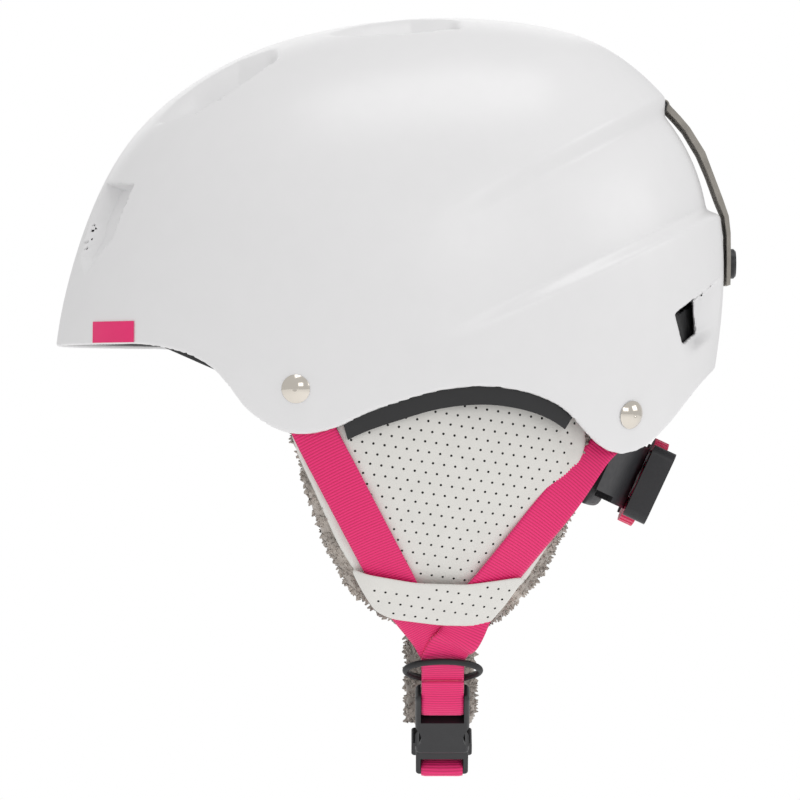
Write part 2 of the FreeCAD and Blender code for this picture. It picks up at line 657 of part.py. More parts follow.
pinion = newBody("dial_pinion", fitFrame)
root = sketchOn(pinion, "XY_Plane", "-1.6")
drawCircle(root, "0", "0", "3.75 * sizes.gearModule")
addPad(pinion, root, "3.3")
tooth = sketchOn(pinion, "XY_Plane", "-1.6")
drawOutline(tooth, [("-0.95", "3.4"), ("0.95", "3.4"), ("0.63", "5"), ("0.34", "5.8"),
                    ("-0.34", "5.8"), ("-0.63", "5")])
toothPad = addPad(pinion, tooth, "3.2")
teeth = pinion.newObject("PartDesign::PolarPattern", "pinion_teeth")
teeth.Originals = [toothPad]
teeth.Axis = (next(f for f in pinion.Origin.OriginFeatures if f.Role == "Z_Axis"), [""])
teeth.setExpression("Occurrences", "sizes.pinionTeeth")
pinion.Tip = teeth
doc.recompute()
hub = sketchOn(pinion, "XY_Plane", "1.7")
drawCircle(hub, "0", "0", "6.5")
addPad(pinion, hub, "2.6")
bore = sketchOn(pinion, "XY_Plane", "-3")
drawCircle(bore, "0", "0", "sizes.axleBore")
addPocket(pinion, bore, "10")

cover = newBody("fit_cover", fitFrame)
lid = sketchOn(cover, "XY_Plane", "3.9")
drawOutline(lid, rectangle("-23", "-sizes.coverHeight / 2", "23", "sizes.coverHeight / 2"))
addPad(cover, lid, "9.7")
roundEdges(cover, Vector(0, 0, 1), "4")
coverHollow = sketchOn(cover, "XY_Plane", "3.9")
drawOutline(coverHollow, rectangle("-19.4", "-20", "19.4", "20"))
addPocket(cover, coverHollow, "6.7")

axle = newBody("dial_axle", fitFrame)
pin = sketchOn(axle, "XY_Plane", "-4")
drawCircle(pin, "0", "0", "sizes.axleRadius")
addPad(axle, pin, "14.4")
head = sketchOn(axle, "XY_Plane", "-4.2")
drawCircle(head, "0", "0", "3.4")
addPad(axle, head, "1.2", True)

spring = newBody("detent_spring", fitFrame)
leaf = sketchOn(spring, "XY_Plane", "4.5")
drawCircle(leaf, "0", "0", "12.4")
drawCircle(leaf, "0", "0", "11.6")
addPad(spring, leaf, "2.3")
opening = sketchOn(spring, "XY_Plane", "4.5")
drawOutline(opening, rectangle("-14", "-14", "14", "-8"))
addPocket(spring, opening)

# ---------------------------------------------------------------- goggle strap keeper and rim patch

hinge = Vector(0, 112.2, 99.7)
keeperWide = size("keeperWidth")
outerLine = [(115.6, 98.6), (119, 95), (122.9, 90.4), (129.2, 80.3), (132.9, 70.5), (136.5, 61),
             (138.9, 54), (139.7, 47), (139.8, 36), (139.6, 25.5)]
innerLine = [(138, 25.5), (138.2, 36), (138.1, 46), (137.1, 53.6), (134.4, 60), (130.4, 71), (126.8, 79.3),
             (121, 89), (117.3, 93.3), (113.9, 96.9)]
strapSide = Part.makePolygon([Vector(0, y, z) for y, z in outerLine + innerLine + outerLine[:1]])
strapBody = Part.Face(strapSide)
strapBody.translate(Vector(-keeperWide / 2, 0, 0))
keeper = strapBody.extrude(Vector(keeperWide, 0, 0))
eyelet = Part.makeCylinder(2.3, keeperWide, hinge - Vector(keeperWide / 2, 0, 0), Vector(1, 0, 0))
neck = Part.Face(Part.makePolygon([Vector(-keeperWide / 2, y, z) for y, z in (
    (115.6, 98.6), (113.9, 96.9), (111.8, 98.2), (113.4, 101), (115.6, 98.6))]))
keeper = keeper.fuse(neck.extrude(Vector(keeperWide, 0, 0))).fuse(eyelet)
keeper = keeper.cut(Part.makeCylinder(1.38, 40, hinge - Vector(20, 0, 0), Vector(1, 0, 0)))
snapSpot = Vector(0, 139.85, 34.5)
keeper = keeper.removeSplitter()
anchor = Part.makeCylinder(1.3, keeperWide + 8, hinge - Vector(keeperWide / 2 + 4, 0, 0), Vector(1, 0, 0))
for x in (-keeperWide / 2 - 4, keeperWide / 2 + 0.8):
    anchor = anchor.fuse(boxBetween((x, 105.5, 97), (x + 3.2, 113, 100.9)))
anchor = anchor.cut(shell).cut(liner)
anchor = max(anchor.Solids, key=lambda solid: solid.Volume)

snap = newBody("snap_cap", frameAt(snapSpot, Vector(-1, 0, 0), Vector(0, 0, 1)))
capSketch = sketchOn(snap)
drawCircle(capSketch, "0", "0", "sizes.snapRadius")
addPad(snap, capSketch, "sizes.snapThick - 0.4")
capPad = snap.Tip
rimEdge = ["Edge%d" % index for index, edge in enumerate(capPad.Shape.Edges, start=1)
           if edge.Curve.TypeId == "Part::GeomCircle" and edge.BoundBox.ZMin > 1]
rounded = snap.newObject("PartDesign::Chamfer", "snap_edge")
rounded.Base = (capPad, rimEdge)
rounded.Size = 0.9
doc.recompute()
studFoot = Part.makeCylinder(4, 8, Vector(0, 129, 34.5), Vector(0, 1, 0)).cut(domeAt[0])
stud = studFoot.common(boxBetween((-10, 130, 25), (10, 137.7, 45)))

patchBox = boxBetween((20, -119.3, 0.8), (110, -101.7, 9.2))
patch = dome(-0.4).cut(dome(-0.05)).common(patchBox)

# ---------------------------------------------------------------- the finished pieces

addFeature("outer_shell", shell.cut(bores).cut(mirrored(bores)))
addFeature("impact_liner", liner)
addFeature("brow_pad", browPad)
addFeature("crown_pad", crownPad)
for label, shape in ventScreens.items():
    addFeature("vent_screen_%s_left" % label, shape)
    addFeature("vent_screen_%s_right" % label, mirrored(shape))
for label, shape in [("ear_trim", earTrim), ("side_pad", sidePad), ("band_guide", guide)] + list(cheek.items()):
    addFeature(label + "_left", shape)
    addFeature(label + "_right", mirrored(shape))
addFeature("strap_rivets", Part.makeCompound(rivets + [mirrored(rivet) for rivet in rivets]))
addFeature("rivet_washers", Part.makeCompound(washers + [mirrored(washer) for washer in washers]))
addFeature("keeper_ring", keeperRing)
addFeature("head_band_left", leftBand)
addFeature("head_band_right", rightBand)
addFeature("fit_housing", housing)
addFeature("cradle_frame", cradle)
addFeature("nape_pad", napePad)
addFeature("goggle_keeper", keeper)
addFeature("keeper_anchor", anchor)
addFeature("snap_stud", stud)
addFeature("rim_patch", patch)

doc.recompute()
faulty = [item.Label for item in doc.Objects if "Invalid" in item.State or "Error" in item.State]
faulty += [piece.Label for piece in pieces if piece.Shape.isNull() or not piece.Shape.isValid()]
if faulty:
    raise RuntimeError("failed: " + ", ".join(faulty))
os.makedirs("parts", exist_ok=True)
for piece in pieces:
    piece.Shape.exportStep("parts/%s.step" % piece.Label)
print(len(pieces), "pieces written")
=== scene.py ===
import bmesh
import bpy
import math
import numpy as np
from mathutils import Matrix, Vector
from mathutils.geometry import delaunay_2d_cdt


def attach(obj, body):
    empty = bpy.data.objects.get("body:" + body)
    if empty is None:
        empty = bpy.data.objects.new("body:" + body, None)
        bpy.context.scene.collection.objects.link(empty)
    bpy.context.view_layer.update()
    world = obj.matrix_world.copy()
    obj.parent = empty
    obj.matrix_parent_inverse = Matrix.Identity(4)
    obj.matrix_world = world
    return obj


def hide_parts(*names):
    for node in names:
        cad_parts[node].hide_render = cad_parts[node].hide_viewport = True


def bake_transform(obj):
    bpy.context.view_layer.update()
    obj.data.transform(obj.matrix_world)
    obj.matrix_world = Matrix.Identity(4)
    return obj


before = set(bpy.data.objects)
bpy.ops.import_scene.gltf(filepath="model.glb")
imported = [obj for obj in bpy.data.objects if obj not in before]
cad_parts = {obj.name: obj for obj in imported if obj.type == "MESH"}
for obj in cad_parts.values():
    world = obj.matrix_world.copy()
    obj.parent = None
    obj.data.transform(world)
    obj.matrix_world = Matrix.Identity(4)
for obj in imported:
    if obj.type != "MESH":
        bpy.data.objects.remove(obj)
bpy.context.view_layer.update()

scene = bpy.context.scene
mm = 0.001

view = {"distance": 1.6, "aimY": 0.0033, "aimZ": -0.022, "span": 0.332, "floorZ": -0.6}

cameraData = bpy.data.cameras.new("viewCamera")
cameraData.sensor_width = 36
cameraData.lens = 36 * view["distance"] / view["span"]
cameraData.clip_end = 20
camera = bpy.data.objects.new("viewCamera", cameraData)
camera.location = (view["distance"], view["aimY"], view["aimZ"])
camera.rotation_euler = (math.radians(90), 0, math.radians(90))
scene.collection.objects.link(camera)
scene.camera = camera


def addLight(name, place, aim, width, power, tint=(1, 1, 1)):
    data = bpy.data.lights.new(name, "AREA")
    data.shape = "RECTANGLE"
    data.size = width
    data.size_y = width * 0.7
    data.energy = power
    data.color = tint
    light = bpy.data.objects.new(name, data)
    light.location = place
    light.rotation_euler = (Vector(aim) - Vector(place)).to_track_quat("-Z", "Y").to_euler()
    scene.collection.objects.link(light)


addLight("topSoft", (0.35, 0.1, 1.4), (0, 0, 0.02), 1.1, 5.0)
addLight("sideSoft", (1.6, 0.5, 0.5), (0, 0, 0), 0.8, 2.0)
addLight("rearSoft", (0.4, 1.4, 0.5), (0, 0, 0), 0.8, 2.2)
addLight("farSoft", (-1.3, -0.2, 0.7), (0, 0, 0), 1.1, 1.5)

world = bpy.data.worlds.new("paleRoom")
world.use_nodes = True
worldNodes, worldLinks = world.node_tree.nodes, world.node_tree.links
rays = worldNodes.new("ShaderNodeLightPath")
level = worldNodes.new("ShaderNodeMapRange")  # the backdrop is brighter than the light it gives
level.inputs["To Min"].default_value = 0.66
level.inputs["To Max"].default_value = 1.0
worldLinks.new(rays.outputs["Is Camera Ray"], level.inputs["Value"])
worldLinks.new(level.outputs["Result"], worldNodes["Background"].inputs[1])
worldNodes["Background"].inputs[0].default_value = (1, 1, 1, 1)
scene.world = world
scene.view_settings.view_transform = "Standard"


def makeMaterial(name, colour, rough, metal=0.0, **sockets):
    material = bpy.data.materials.new(name)
    material.use_nodes = True
    shader = material.node_tree.nodes["Principled BSDF"]
    shader.inputs["Base Color"].default_value = (*colour, 1)
    shader.inputs["Roughness"].default_value = rough
    shader.inputs["Metallic"].default_value = metal
    for socket, value in sockets.items():
        shader.inputs[socket.replace("_", " ")].default_value = value
    return material


def graph(material):
    nodes, links = material.node_tree.nodes, material.node_tree.links
    return nodes, links, nodes["Principled BSDF"]


def addCoordinates(material, scale=(1, 1, 1), source="Object"):
    nodes, links, _ = graph(material)
    coordinates = nodes.new("ShaderNodeTexCoord")
    mapping = nodes.new("ShaderNodeMapping")
    mapping.inputs["Scale"].default_value = scale
    links.new(coordinates.outputs[source], mapping.inputs[0])
    return mapping.outputs[0]


def addNoise(material, vector, scale, detail=3.0, rough=0.5):
    nodes, links, _ = graph(material)
    noise = nodes.new("ShaderNodeTexNoise")
    noise.inputs["Scale"].default_value = scale
    noise.inputs["Detail"].default_value = detail
    noise.inputs["Roughness"].default_value = rough
    links.new(vector, noise.inputs["Vector"])
    return noise.outputs[0]


def addRamp(material, factor, stops, target):
    nodes, links, shader = graph(material)
    ramp = nodes.new("ShaderNodeValToRGB")
    bar = ramp.color_ramp
    while len(bar.elements) < len(stops):
        bar.elements.new(0.5)
    for element, (place, colour) in zip(bar.elements, stops):
        element.position = place
        element.color = (*colour, 1) if len(colour) == 3 else (colour[0],) * 3 + (1,)
    links.new(factor, ramp.inputs[0])
    links.new(ramp.outputs[0], shader.inputs[target])


def addBump(material, height, strength, distance):
    nodes, links, shader = graph(material)
    bump = nodes.new("ShaderNodeBump")
    bump.inputs["Strength"].default_value = strength
    bump.inputs["Distance"].default_value = distance
    links.new(height, bump.inputs["Height"])
    last = shader.inputs["Normal"].links
    if last:
        links.new(last[0].from_socket, bump.inputs["Normal"])
    links.new(bump.outputs[0], shader.inputs["Normal"])


def shade(colour, factor):
    return tuple(min(1.0, channel * factor) for channel in colour)


def grained(name, colour, rough, scale, depth, spread=0.06, **more):
    material = makeMaterial(name, colour, rough, **more)
    vector = addCoordinates(material)
    cloudy, rubbed = addNoise(material, vector, scale * 0.12, 4), addNoise(material, vector, scale * 0.3, 5)
    addRamp(material, cloudy, [(0.3, shade(colour, 1 - spread)), (0.7, shade(colour, 1 + spread))], "Base Color")
    addRamp(material, rubbed, [(0.3, (rough * 0.88,)), (0.7, (rough * 1.12,))], "Roughness")
    addBump(material, addNoise(material, vector, scale, 3), 0.5, depth)
    return material


finish = {  # colour, roughness, grain per metre, grain depth, colour spread
    "shell": grained("shellGloss", (0.80, 0.795, 0.80), 0.34, 900, 0.00003, 0.006,
                     Coat_Weight=0.25, Coat_Roughness=0.3),
    "trim": grained("trimVinyl", (0.012, 0.012, 0.013), 0.36, 1500, 0.00006),
    "plastic": grained("buckleNylon", (0.014, 0.014, 0.016), 0.38, 1800, 0.00005, 0.1),
    "fit": grained("fitNylon", (0.022, 0.022, 0.025), 0.42, 1800, 0.00005, 0.1),
    "rubber": grained("rubberBlack", (0.01, 0.01, 0.011), 0.5, 1200, 0.00006, 0.1),
    "foam": grained("foamBlack", (0.016, 0.016, 0.017), 0.8, 420, 0.0004, 0.25),
    "mesh": grained("screenBlack", (0.012, 0.012, 0.013), 0.7, 900, 0.0002, 0.2),
    "steel": grained("steelWashers", (0.55, 0.56, 0.58), 0.35, 1500, 0.00004, 0.05, metal=1.0),
    "nickel": grained("rivetNickel", (0.72, 0.67, 0.60), 0.13, 600, 0.00001, 0.03, metal=1.0),
    "pinkPlastic": grained("dialPink", (0.80, 0.012, 0.12), 0.35, 1500, 0.00004, 0.05),
    "patch": grained("tagPink", (0.82, 0.018, 0.16), 0.4, 900, 0.00004, 0.03),
    "gear": grained("gearAcetal", (0.75, 0.75, 0.72), 0.4, 1500, 0.00003),
    "elastic": grained("elasticGrey", (0.30, 0.28, 0.25), 0.8, 1400, 0.0002, 0.12),
}
print("materials made")

# the shell is drawn as a distance field in millimetres and then meshed
shellFacts = {
    "half": 106.0, "power": 2.3, "centreZ": 15.0, "wall": 2.5, "edge": 1.5, "inside": 0.6,
    "profile": [(-12, 135.7), (0, 136.3), (11, 139.3), (26, 143.6), (40, 142.6), (53, 138.6), (66, 129.8),
                (79, 122.9), (95, 118.8), (113, 120), (131, 124.4), (147, 128.7), (160, 130.4), (173, 133.4),
                (186, 139.4), (205, 149), (235, 151), (270, 150), (305, 149), (332, 141)],
    "rim": [(-160, 0), (-112, 0), (-100, 0), (-87.4, -1.9), (-77.5, -5.1), (-69.2, -10.2), (-62.6, -17.8),
            (-57.2, -24.7), (-49.4, -31), (-41.5, -34.5), (-33.7, -35.3), (-25.9, -34.1), (-18.1, -31.4),
            (-8.4, -26.7), (3.3, -22.8), (15, -19.3), (26.6, -17.3), (38.3, -16.9), (50, -18.5), (57.9, -20.8),
            (65.8, -24.6), (71.7, -29.8), (77.7, -36.4), (83.6, -41.2), (90.5, -43.3), (98, -41.7),
            (104.5, -37.5), (111, -31.2), (133, -9.5), (160, -9.5)],
    "cell": 1.36, "band": (0.88, 1.03), "trianglesMost": 190000,
}


def hermite(spots, count):  # a smooth run through the spots
    spots = np.array(spots, float)
    last = len(spots) - 1
    place = np.linspace(0, last, count)
    low = np.clip(place.astype(int), 0, last - 1)
    t = (place - low)[:, None]
    before, after = np.maximum(low - 1, 0), np.minimum(low + 2, last)
    a, b = spots[low], spots[low + 1]
    m, n = (b - spots[before]) / 2, (spots[after] - a) / 2
    start, startSlope = 2 * t**3 - 3 * t**2 + 1, t**3 - 2 * t**2 + t
    return start * a + startSlope * m + (3 * t**2 - 2 * t**3) * b + (t**3 - t**2) * n


def smooth(t):
    t = np.clip(t, 0, 1)
    return t * t * (3 - 2 * t)


def softMax(a, b, width):
    h = np.maximum(width - np.abs(a - b), 0) / width
    return np.maximum(a, b) + h * h * width * 0.25


def periodicTable(spots, period, count):
    spots = sorted((angle % period, value) for angle, value in spots)
    angles = np.array([a + turn for turn in (-period, 0, period) for a, _ in spots])
    values = np.array([v for _, v in spots] * 3, float)
    size = len(angles)
    step = np.diff(angles)
    matrix, right = np.eye(size), np.zeros(size)  # a natural cubic, three turns long
    for i in range(1, size - 1):
        matrix[i, i - 1:i + 2] = step[i - 1], 2 * (step[i - 1] + step[i]), step[i]
        before, after = (values[i] - values[i - 1]) / step[i - 1], (values[i + 1] - values[i]) / step[i]
        right[i] = 6 * (after - before)
    bend = np.linalg.solve(matrix, right)
    at = np.linspace(0, period, count)
    i = np.searchsorted(angles, at, side="right") - 1
    a, b, h = angles[i + 1] - at, at - angles[i], step[i]
    straight = (values[i] / h - bend[i] * h / 6) * a
    bent = (bend[i] * a**3 + bend[i + 1] * b**3) / (6 * h)
    return bent + straight + (values[i + 1] / h - bend[i + 1] * h / 6) * b


reachTable = periodicTable(shellFacts["profile"], 360.0, 3601)
rimLine = hermite(shellFacts["rim"], 500)


def domeRatio(p):
    lift = p[:, 2] - shellFacts["centreZ"]
    angle = np.degrees(np.arctan2(lift, p[:, 1])) % 360
    reach = np.interp(angle, np.linspace(0, 360, len(reachTable)), reachTable)
    power = shellFacts["power"]
    across, along = np.abs(p[:, 0]) / shellFacts["half"], np.hypot(p[:, 1], lift) / reach
    return (across**power + along**power)**(1 / power)


def domeDistance(p):
    ratio = domeRatio(p)
    step = 0.05
    slope = np.stack([domeRatio(p + step * np.eye(3)[k]) - ratio for k in range(3)], 1) / step
    return (ratio - 1) / np.linalg.norm(slope, axis=1)


rimBox = {"y0": -160.0, "z0": -60.0, "step": 0.6, "ny": 500, "nz": 250}  # a lookup of distance to the rim


def rimTable():
    y = rimBox["y0"] + rimBox["step"] * np.arange(rimBox["ny"])
    z = rimBox["z0"] + rimBox["step"] * np.arange(rimBox["nz"])
    yy, zz = np.meshgrid(y, z, indexing="ij")
    nearest = np.full(yy.shape, 1e9)
    for a, b in zip(rimLine[:-1], rimLine[1:]):
        d = b - a
        t = np.clip(((yy - a[0]) * d[0] + (zz - a[1]) * d[1]) / (d @ d + 1e-9), 0, 1)
        nearest = np.minimum(nearest, np.hypot(yy - a[0] - t * d[0], zz - a[1] - t * d[1]))
    return np.where(zz < np.interp(yy, rimLine[:, 0], rimLine[:, 1]), nearest, -nearest)


rimField = rimTable()


def belowRim(y, z):
    u = np.clip((y - rimBox["y0"]) / rimBox["step"], 0, rimBox["ny"] - 2.001)
    v = np.clip((z - rimBox["z0"]) / rimBox["step"], 0, rimBox["nz"] - 2.001)
    i, j = u.astype(int), v.astype(int)
    s, t = u - i, v - j
    lower = rimField[i, j] * (1 - s) + rimField[i + 1, j] * s
    upper = rimField[i, j + 1] * (1 - s) + rimField[i + 1, j + 1] * s
    return lower * (1 - t) + upper * t


def sideOf(y, z, a, b):
    dy, dz = b[0] - a[0], b[1] - a[1]
    return ((z - a[1]) * dy - (y - a[0]) * dz) / math.hypot(dy, dz)


# the band round the back that holds a goggle strap
channel = {"upper": ((3, 43), (110, 102.5)), "lower": ((18.8, -2.6), (132.8, 51.9)), "deepest": 5.2,
           "from": 6, "full": 104, "upperRamp": 9.0, "lowerRamp": 6.5}


def channelDepth(y, z):
    below = -sideOf(y, z, *channel["upper"])
    above = sideOf(y, z, *channel["lower"])
    grow = smooth((y - channel["from"]) / (channel["full"] - channel["from"]))
    upper, lower = smooth(below / channel["upperRamp"]), smooth(above / channel["lowerRamp"])
    return channel["deepest"] * grow * upper * lower


topVents = [
    {"outer": [(-99, 40), (-79.4, 58.7), (-67.3, 60.5), (-57.2, 58), (-46, 52)],
     "inner": [(-99, 37), (-80, 33), (-62, 31), (-46, 36)],
     "y0": -99, "y1": -45, "taper": 26.0, "depth": 7.0, "slot": (51.0, -66, 10.5, 24)},
    {"outer": [(-30, 38), (-12, 47), (8, 50), (28, 46)], "inner": [(-30, 35), (-12, 25), (8, 23), (28, 30)],
     "y0": -30, "y1": 29, "taper": 26.0, "depth": 6.0, "slot": (40.5, 6, 10.5, 28)},
]
topRamps = {"outer": 3.4, "inner": 10, "rear": 6}  # crisp outer lip, soft inner side
frontVent = {"corners": [(28, 66.5), (58.5, 64.5), (59.5, 43), (47, 27), (34, 36), (28, 50)], "depth": 6.5,
             "hole": [(45, 55), (57, 54.5), (57.8, 43.5), (45, 43.5)], "ramp": 3.0, "sill": 26, "sillRamp": 18}
rearVent = {"corners": [(112.6, 12.4), (121.0, 18.4), (122.2, 4.8), (116.0, 0.4)], "scoop": 5.0, "holeFrom": 30,
            "front": {"y": 112.6, "z": 12.4, "lean": 0.283, "early": 0.6, "ramp": 7},
            "top": {"y": 121, "z": 19.2, "lean": 0.73, "ramp": 2.4},
            "low": {"y": 117.5, "z": -7.4, "lean": 0.79, "ramp": 8}, "side": 26, "sideRamp": 14}
zones = {"top": 60, "front": -60, "rear": 60}  # where each kind of vent may be
farOff = 9.0


def slotDistance(x, y, across, along):
    radius = min(across, along) / 2
    qx = np.maximum(np.abs(x) - (across / 2 - radius), 0)
    qy = np.maximum(np.abs(y) - (along / 2 - radius), 0)
    return np.hypot(qx, qy) - radius


def polygonDistance(y, z, corners):
    nearest, inside = np.full(y.shape, 1e9), np.ones(y.shape, bool)
    for a, b in zip(corners, corners[1:] + corners[:1]):
        d = np.array(b, float) - a
        t = np.clip(((y - a[0]) * d[0] + (z - a[1]) * d[1]) / (d @ d), 0, 1)
        nearest = np.minimum(nearest, np.hypot(y - a[0] - t * d[0], z - a[1] - t * d[1]))
        inside &= ((z - a[1]) * d[0] - (y - a[0]) * d[1]) < 0
    return np.where(inside, -nearest, nearest)


def rearScoop(x, y, z):
    front, top, low = rearVent["front"], rearVent["top"], rearVent["low"]
    opening = smooth((y - front["y"] - (front["z"] - z) * front["lean"] + front["early"]) / front["ramp"])
    opening = opening * smooth((top["z"] + top["lean"] * (y - top["y"]) - z) / top["ramp"])
    opening = opening * smooth((z - low["z"] - low["lean"] * (y - low["y"])) / low["ramp"])
    opening = rearVent["scoop"] * opening * smooth((x - rearVent["side"]) / rearVent["sideRamp"])
    return opening * (y > zones["rear"])


def ventDepth(p):
    x, y, z = np.abs(p[:, 0]), p[:, 1], p[:, 2]
    depth = np.zeros(len(p))
    for vent in topVents:
        outer = np.interp(y, *zip(*vent["outer"]))
        inner = np.interp(y, *zip(*vent["inner"]))
        cup = smooth((outer - x) / topRamps["outer"]) * smooth((x - inner) / topRamps["inner"])
        cup = cup * smooth((y - vent["y0"]) / vent["taper"]) * smooth((vent["y1"] - y) / topRamps["rear"])
        depth = np.maximum(depth, vent["depth"] * cup * (z > zones["top"]))
    cup = smooth(-polygonDistance(x, z, frontVent["corners"]) / frontVent["ramp"])
    cup = cup * smooth((z - frontVent["sill"]) / frontVent["sillRamp"]) * (y < zones["front"])
    return np.maximum(np.maximum(depth, frontVent["depth"] * cup), rearScoop(x, y, z))


def ventHoles(p, grow=0.0):
    x, y, z = np.abs(p[:, 0]), p[:, 1], p[:, 2]
    nearest = np.full(len(p), farOff)
    for vent in topVents:
        cx, cy, across, along = vent["slot"]
        slot = slotDistance(x - cx, y - cy, across, along)
        nearest = np.minimum(nearest, np.where(z > zones["top"], slot, farOff))
    front, rear = polygonDistance(x, z, frontVent["hole"]), polygonDistance(y, z, rearVent["corners"])
    nearest = np.minimum(nearest, np.where(y < zones["front"], front, farOff))
    rearHere = (y > zones["rear"]) & (x > rearVent["holeFrom"])
    return np.minimum(nearest, np.where(rearHere, rear, farOff)) - grow


def carving(p):
    return channelDepth(p[:, 1], p[:, 2]) + ventDepth(p)


carved = {"least": 0.01, "step": 0.2, "thicker": 1.2}


def skinAndSlope(p):
    depth = carving(p)
    steep = np.ones(len(p))
    cut = np.flatnonzero(depth > carved["least"])
    step = carved["step"]
    if len(cut):
        rise = np.stack([carving(p[cut] + step * np.eye(3)[k]) - depth[cut] for k in range(3)], 1) / step
        steep[cut] = carved["thicker"] * np.sqrt(1 + (rise**2).sum(1))  # keeps a steep side's wall thick enough
    return domeDistance(p) + depth, steep


def shellField(p):
    outside, steep = skinAndSlope(p)
    wall = softMax(outside, -(outside + shellFacts["wall"] * steep), shellFacts["inside"])
    field = softMax(wall, belowRim(p[:, 1], p[:, 2]), shellFacts["edge"])
    return softMax(field, -ventHoles(p), shellFacts["edge"] * 0.8)


linerFacts = {
    "gap": 2.9, "inner": 24.5, "edge": 3.0, "cell": 2.6, "band": (0.66, 1.0), "trianglesMost": 150000,
    "bottom": [(-170, 2), (-95, 1), (-72, -9), (-60, -14), (104, -14), (120, -7), (170, -7)],
    # the head band turns inside a round opening
    "ring": (0, 26.7, -19.9), "ringUp": (0, 0.422618, 0.906308), "ringReach": 82.0, "ringHalf": 17.0,
    # room for the rivets and strap ends: from y, to y, up to z, deeper than
    "rooms": ((-50, -26, -2, 10), (82, 116, -6, 12)),
    # airways behind the vents: middles and sizes on top, and from x, to x, middle z, half height at the ends
    "topAirways": ((38, -74, 30, 50), (34, 2, 28, 54)), "frontAirway": (24, 64, 51, 8),
    "rearAirway": (36, 70, 9, 9),
}


def endAirway(x, z, wanted, facts):
    left, right, middle, half = facts
    return np.where(wanted & (x > left) & (x < right), np.abs(z - middle) - half, farOff)


def linerField(p):
    x, y, z = np.abs(p[:, 0]), p[:, 1], p[:, 2]
    outside, steep = skinAndSlope(p)
    egg, edge = domeDistance(p), linerFacts["edge"]
    field = softMax(outside + linerFacts["gap"] * steep, -(egg + linerFacts["inner"]), edge)
    field = softMax(field, np.interp(y, *zip(*linerFacts["bottom"])) - z, edge)
    away = p - np.array(linerFacts["ring"])
    up = np.array(linerFacts["ringUp"])
    height = away @ up
    reach = np.linalg.norm(away - height[:, None] * up, axis=1)
    ring = np.maximum(np.abs(height) - linerFacts["ringHalf"], reach - linerFacts["ringReach"])
    field = softMax(field, -ring, edge)
    for y0, y1, z1, inset in linerFacts["rooms"]:
        field = softMax(field, -np.maximum.reduce([y0 - y, y - y1, z - z1, -(egg + inset)]), edge)
    slots = [slotDistance(x - cx, y - cy, across, along) for cx, cy, across, along in linerFacts["topAirways"]]
    airways = np.where(z > zones["top"], np.minimum(*slots), farOff)
    airways = np.minimum(airways, endAirway(x, z, y < zones["front"], linerFacts["frontAirway"]))
    airways = np.minimum(airways, endAirway(x, z, y > zones["rear"], linerFacts["rearAirway"]))
    return softMax(field, -airways, edge)


screenFacts = {"middle": 4.1, "half": 1.1, "margin": 2.0, "cell": 1.15,
               "band": (0.86, 1.01), "trianglesMost": 60000}


def screenField(p):
    outside, steep = skinAndSlope(p)
    slab = np.abs(outside + screenFacts["middle"] * steep) - screenFacts["half"] * steep
    return np.maximum(slab, ventHoles(p, screenFacts["margin"]))


def slopeOf(field, p, step=0.08):
    sides = step * np.eye(3)
    return np.stack([field(p + side) - field(p - side) for side in sides], 1) / (2 * step)


gridBox = {"low": (-112.0, -142.0, -50.0), "high": (112, 148, 145)}


def surfaceNet(field, cell, band):  # one vertex in each cell that the surface crosses
    low, high = np.array(gridBox["low"]), gridBox["high"]
    counts = np.ceil((np.array(high) - low) / cell).astype(int) + 1
    axes = [low[k] + cell * np.arange(counts[k]) for k in range(3)]
    grid = np.stack(np.meshgrid(*axes, indexing="ij"), -1).reshape(-1, 3)
    ratio = domeRatio(grid)
    near = (ratio > band[0]) & (ratio < band[1])
    values = np.full(len(grid), 50.0)
    values[near] = field(grid[near])
    values = values.reshape(counts)
    inside = values < 0
    corner = [(i, j, k) for i in (0, 1) for j in (0, 1) for k in (0, 1)]

    def cut(table, shift):
        return table[tuple(slice(shift[k], counts[k] - 1 + shift[k]) for k in range(3))]

    total = sum(cut(inside, c).astype(int) for c in corner)
    active = (total > 0) & (total < 8)
    index = np.full(active.shape, -1)
    index[active] = np.arange(active.sum())
    spots, weight = np.zeros((active.sum(), 3)), np.zeros(active.sum())
    for a in corner:
        for k in range(3):
            if a[k]:
                continue
            b = tuple(1 if m == k else a[m] for m in range(3))
            va, vb = cut(values, a)[active], cut(values, b)[active]
            crossed = (va < 0) != (vb < 0)
            t = np.where(crossed, va / np.where(crossed, va - vb, 1), 0)
            spot = np.array(a, float) + t[:, None] * np.eye(3)[k]
            spots[crossed] += spot[crossed]
            weight[crossed] += 1
    spots = (np.argwhere(active) + spots / weight[:, None]) * cell + low
    quads = []
    for k in range(3):
        u, v = (k + 1) % 3, (k + 2) % 3
        core = [slice(1, counts[m] - 1) for m in range(3)]
        core[k] = slice(0, counts[k] - 1)
        after = list(core)
        after[k] = slice(1, counts[k])
        a, b = inside[tuple(core)], inside[tuple(after)]
        for flip, crossed in ((False, a & ~b), (True, ~a & b)):
            cells = np.argwhere(crossed)
            for m in (u, v):
                cells[:, m] += 1
            around = []
            for du, dv in ((-1, -1), (0, -1), (0, 0), (-1, 0)):
                c = cells.copy()
                c[:, u] += du
                c[:, v] += dv
                around.append(index[c[:, 0], c[:, 1], c[:, 2]])
            quad = np.stack(around, 1)
            quads.append(quad[:, ::-1] if flip else quad)
    return spots, np.concatenate(quads)


def newMesh(name, spots, faces, scale=mm):
    mesh = bpy.data.meshes.new(name)
    mesh.from_pydata((np.asarray(spots) * scale).tolist(), [], [list(map(int, f)) for f in faces])
    mesh.update()
    return mesh


def soften(mesh):
    mesh.polygons.foreach_set("use_smooth", np.ones(len(mesh.polygons), bool))


def paintOnly(mesh, material):
    mesh.materials.clear()
    mesh.materials.append(material)


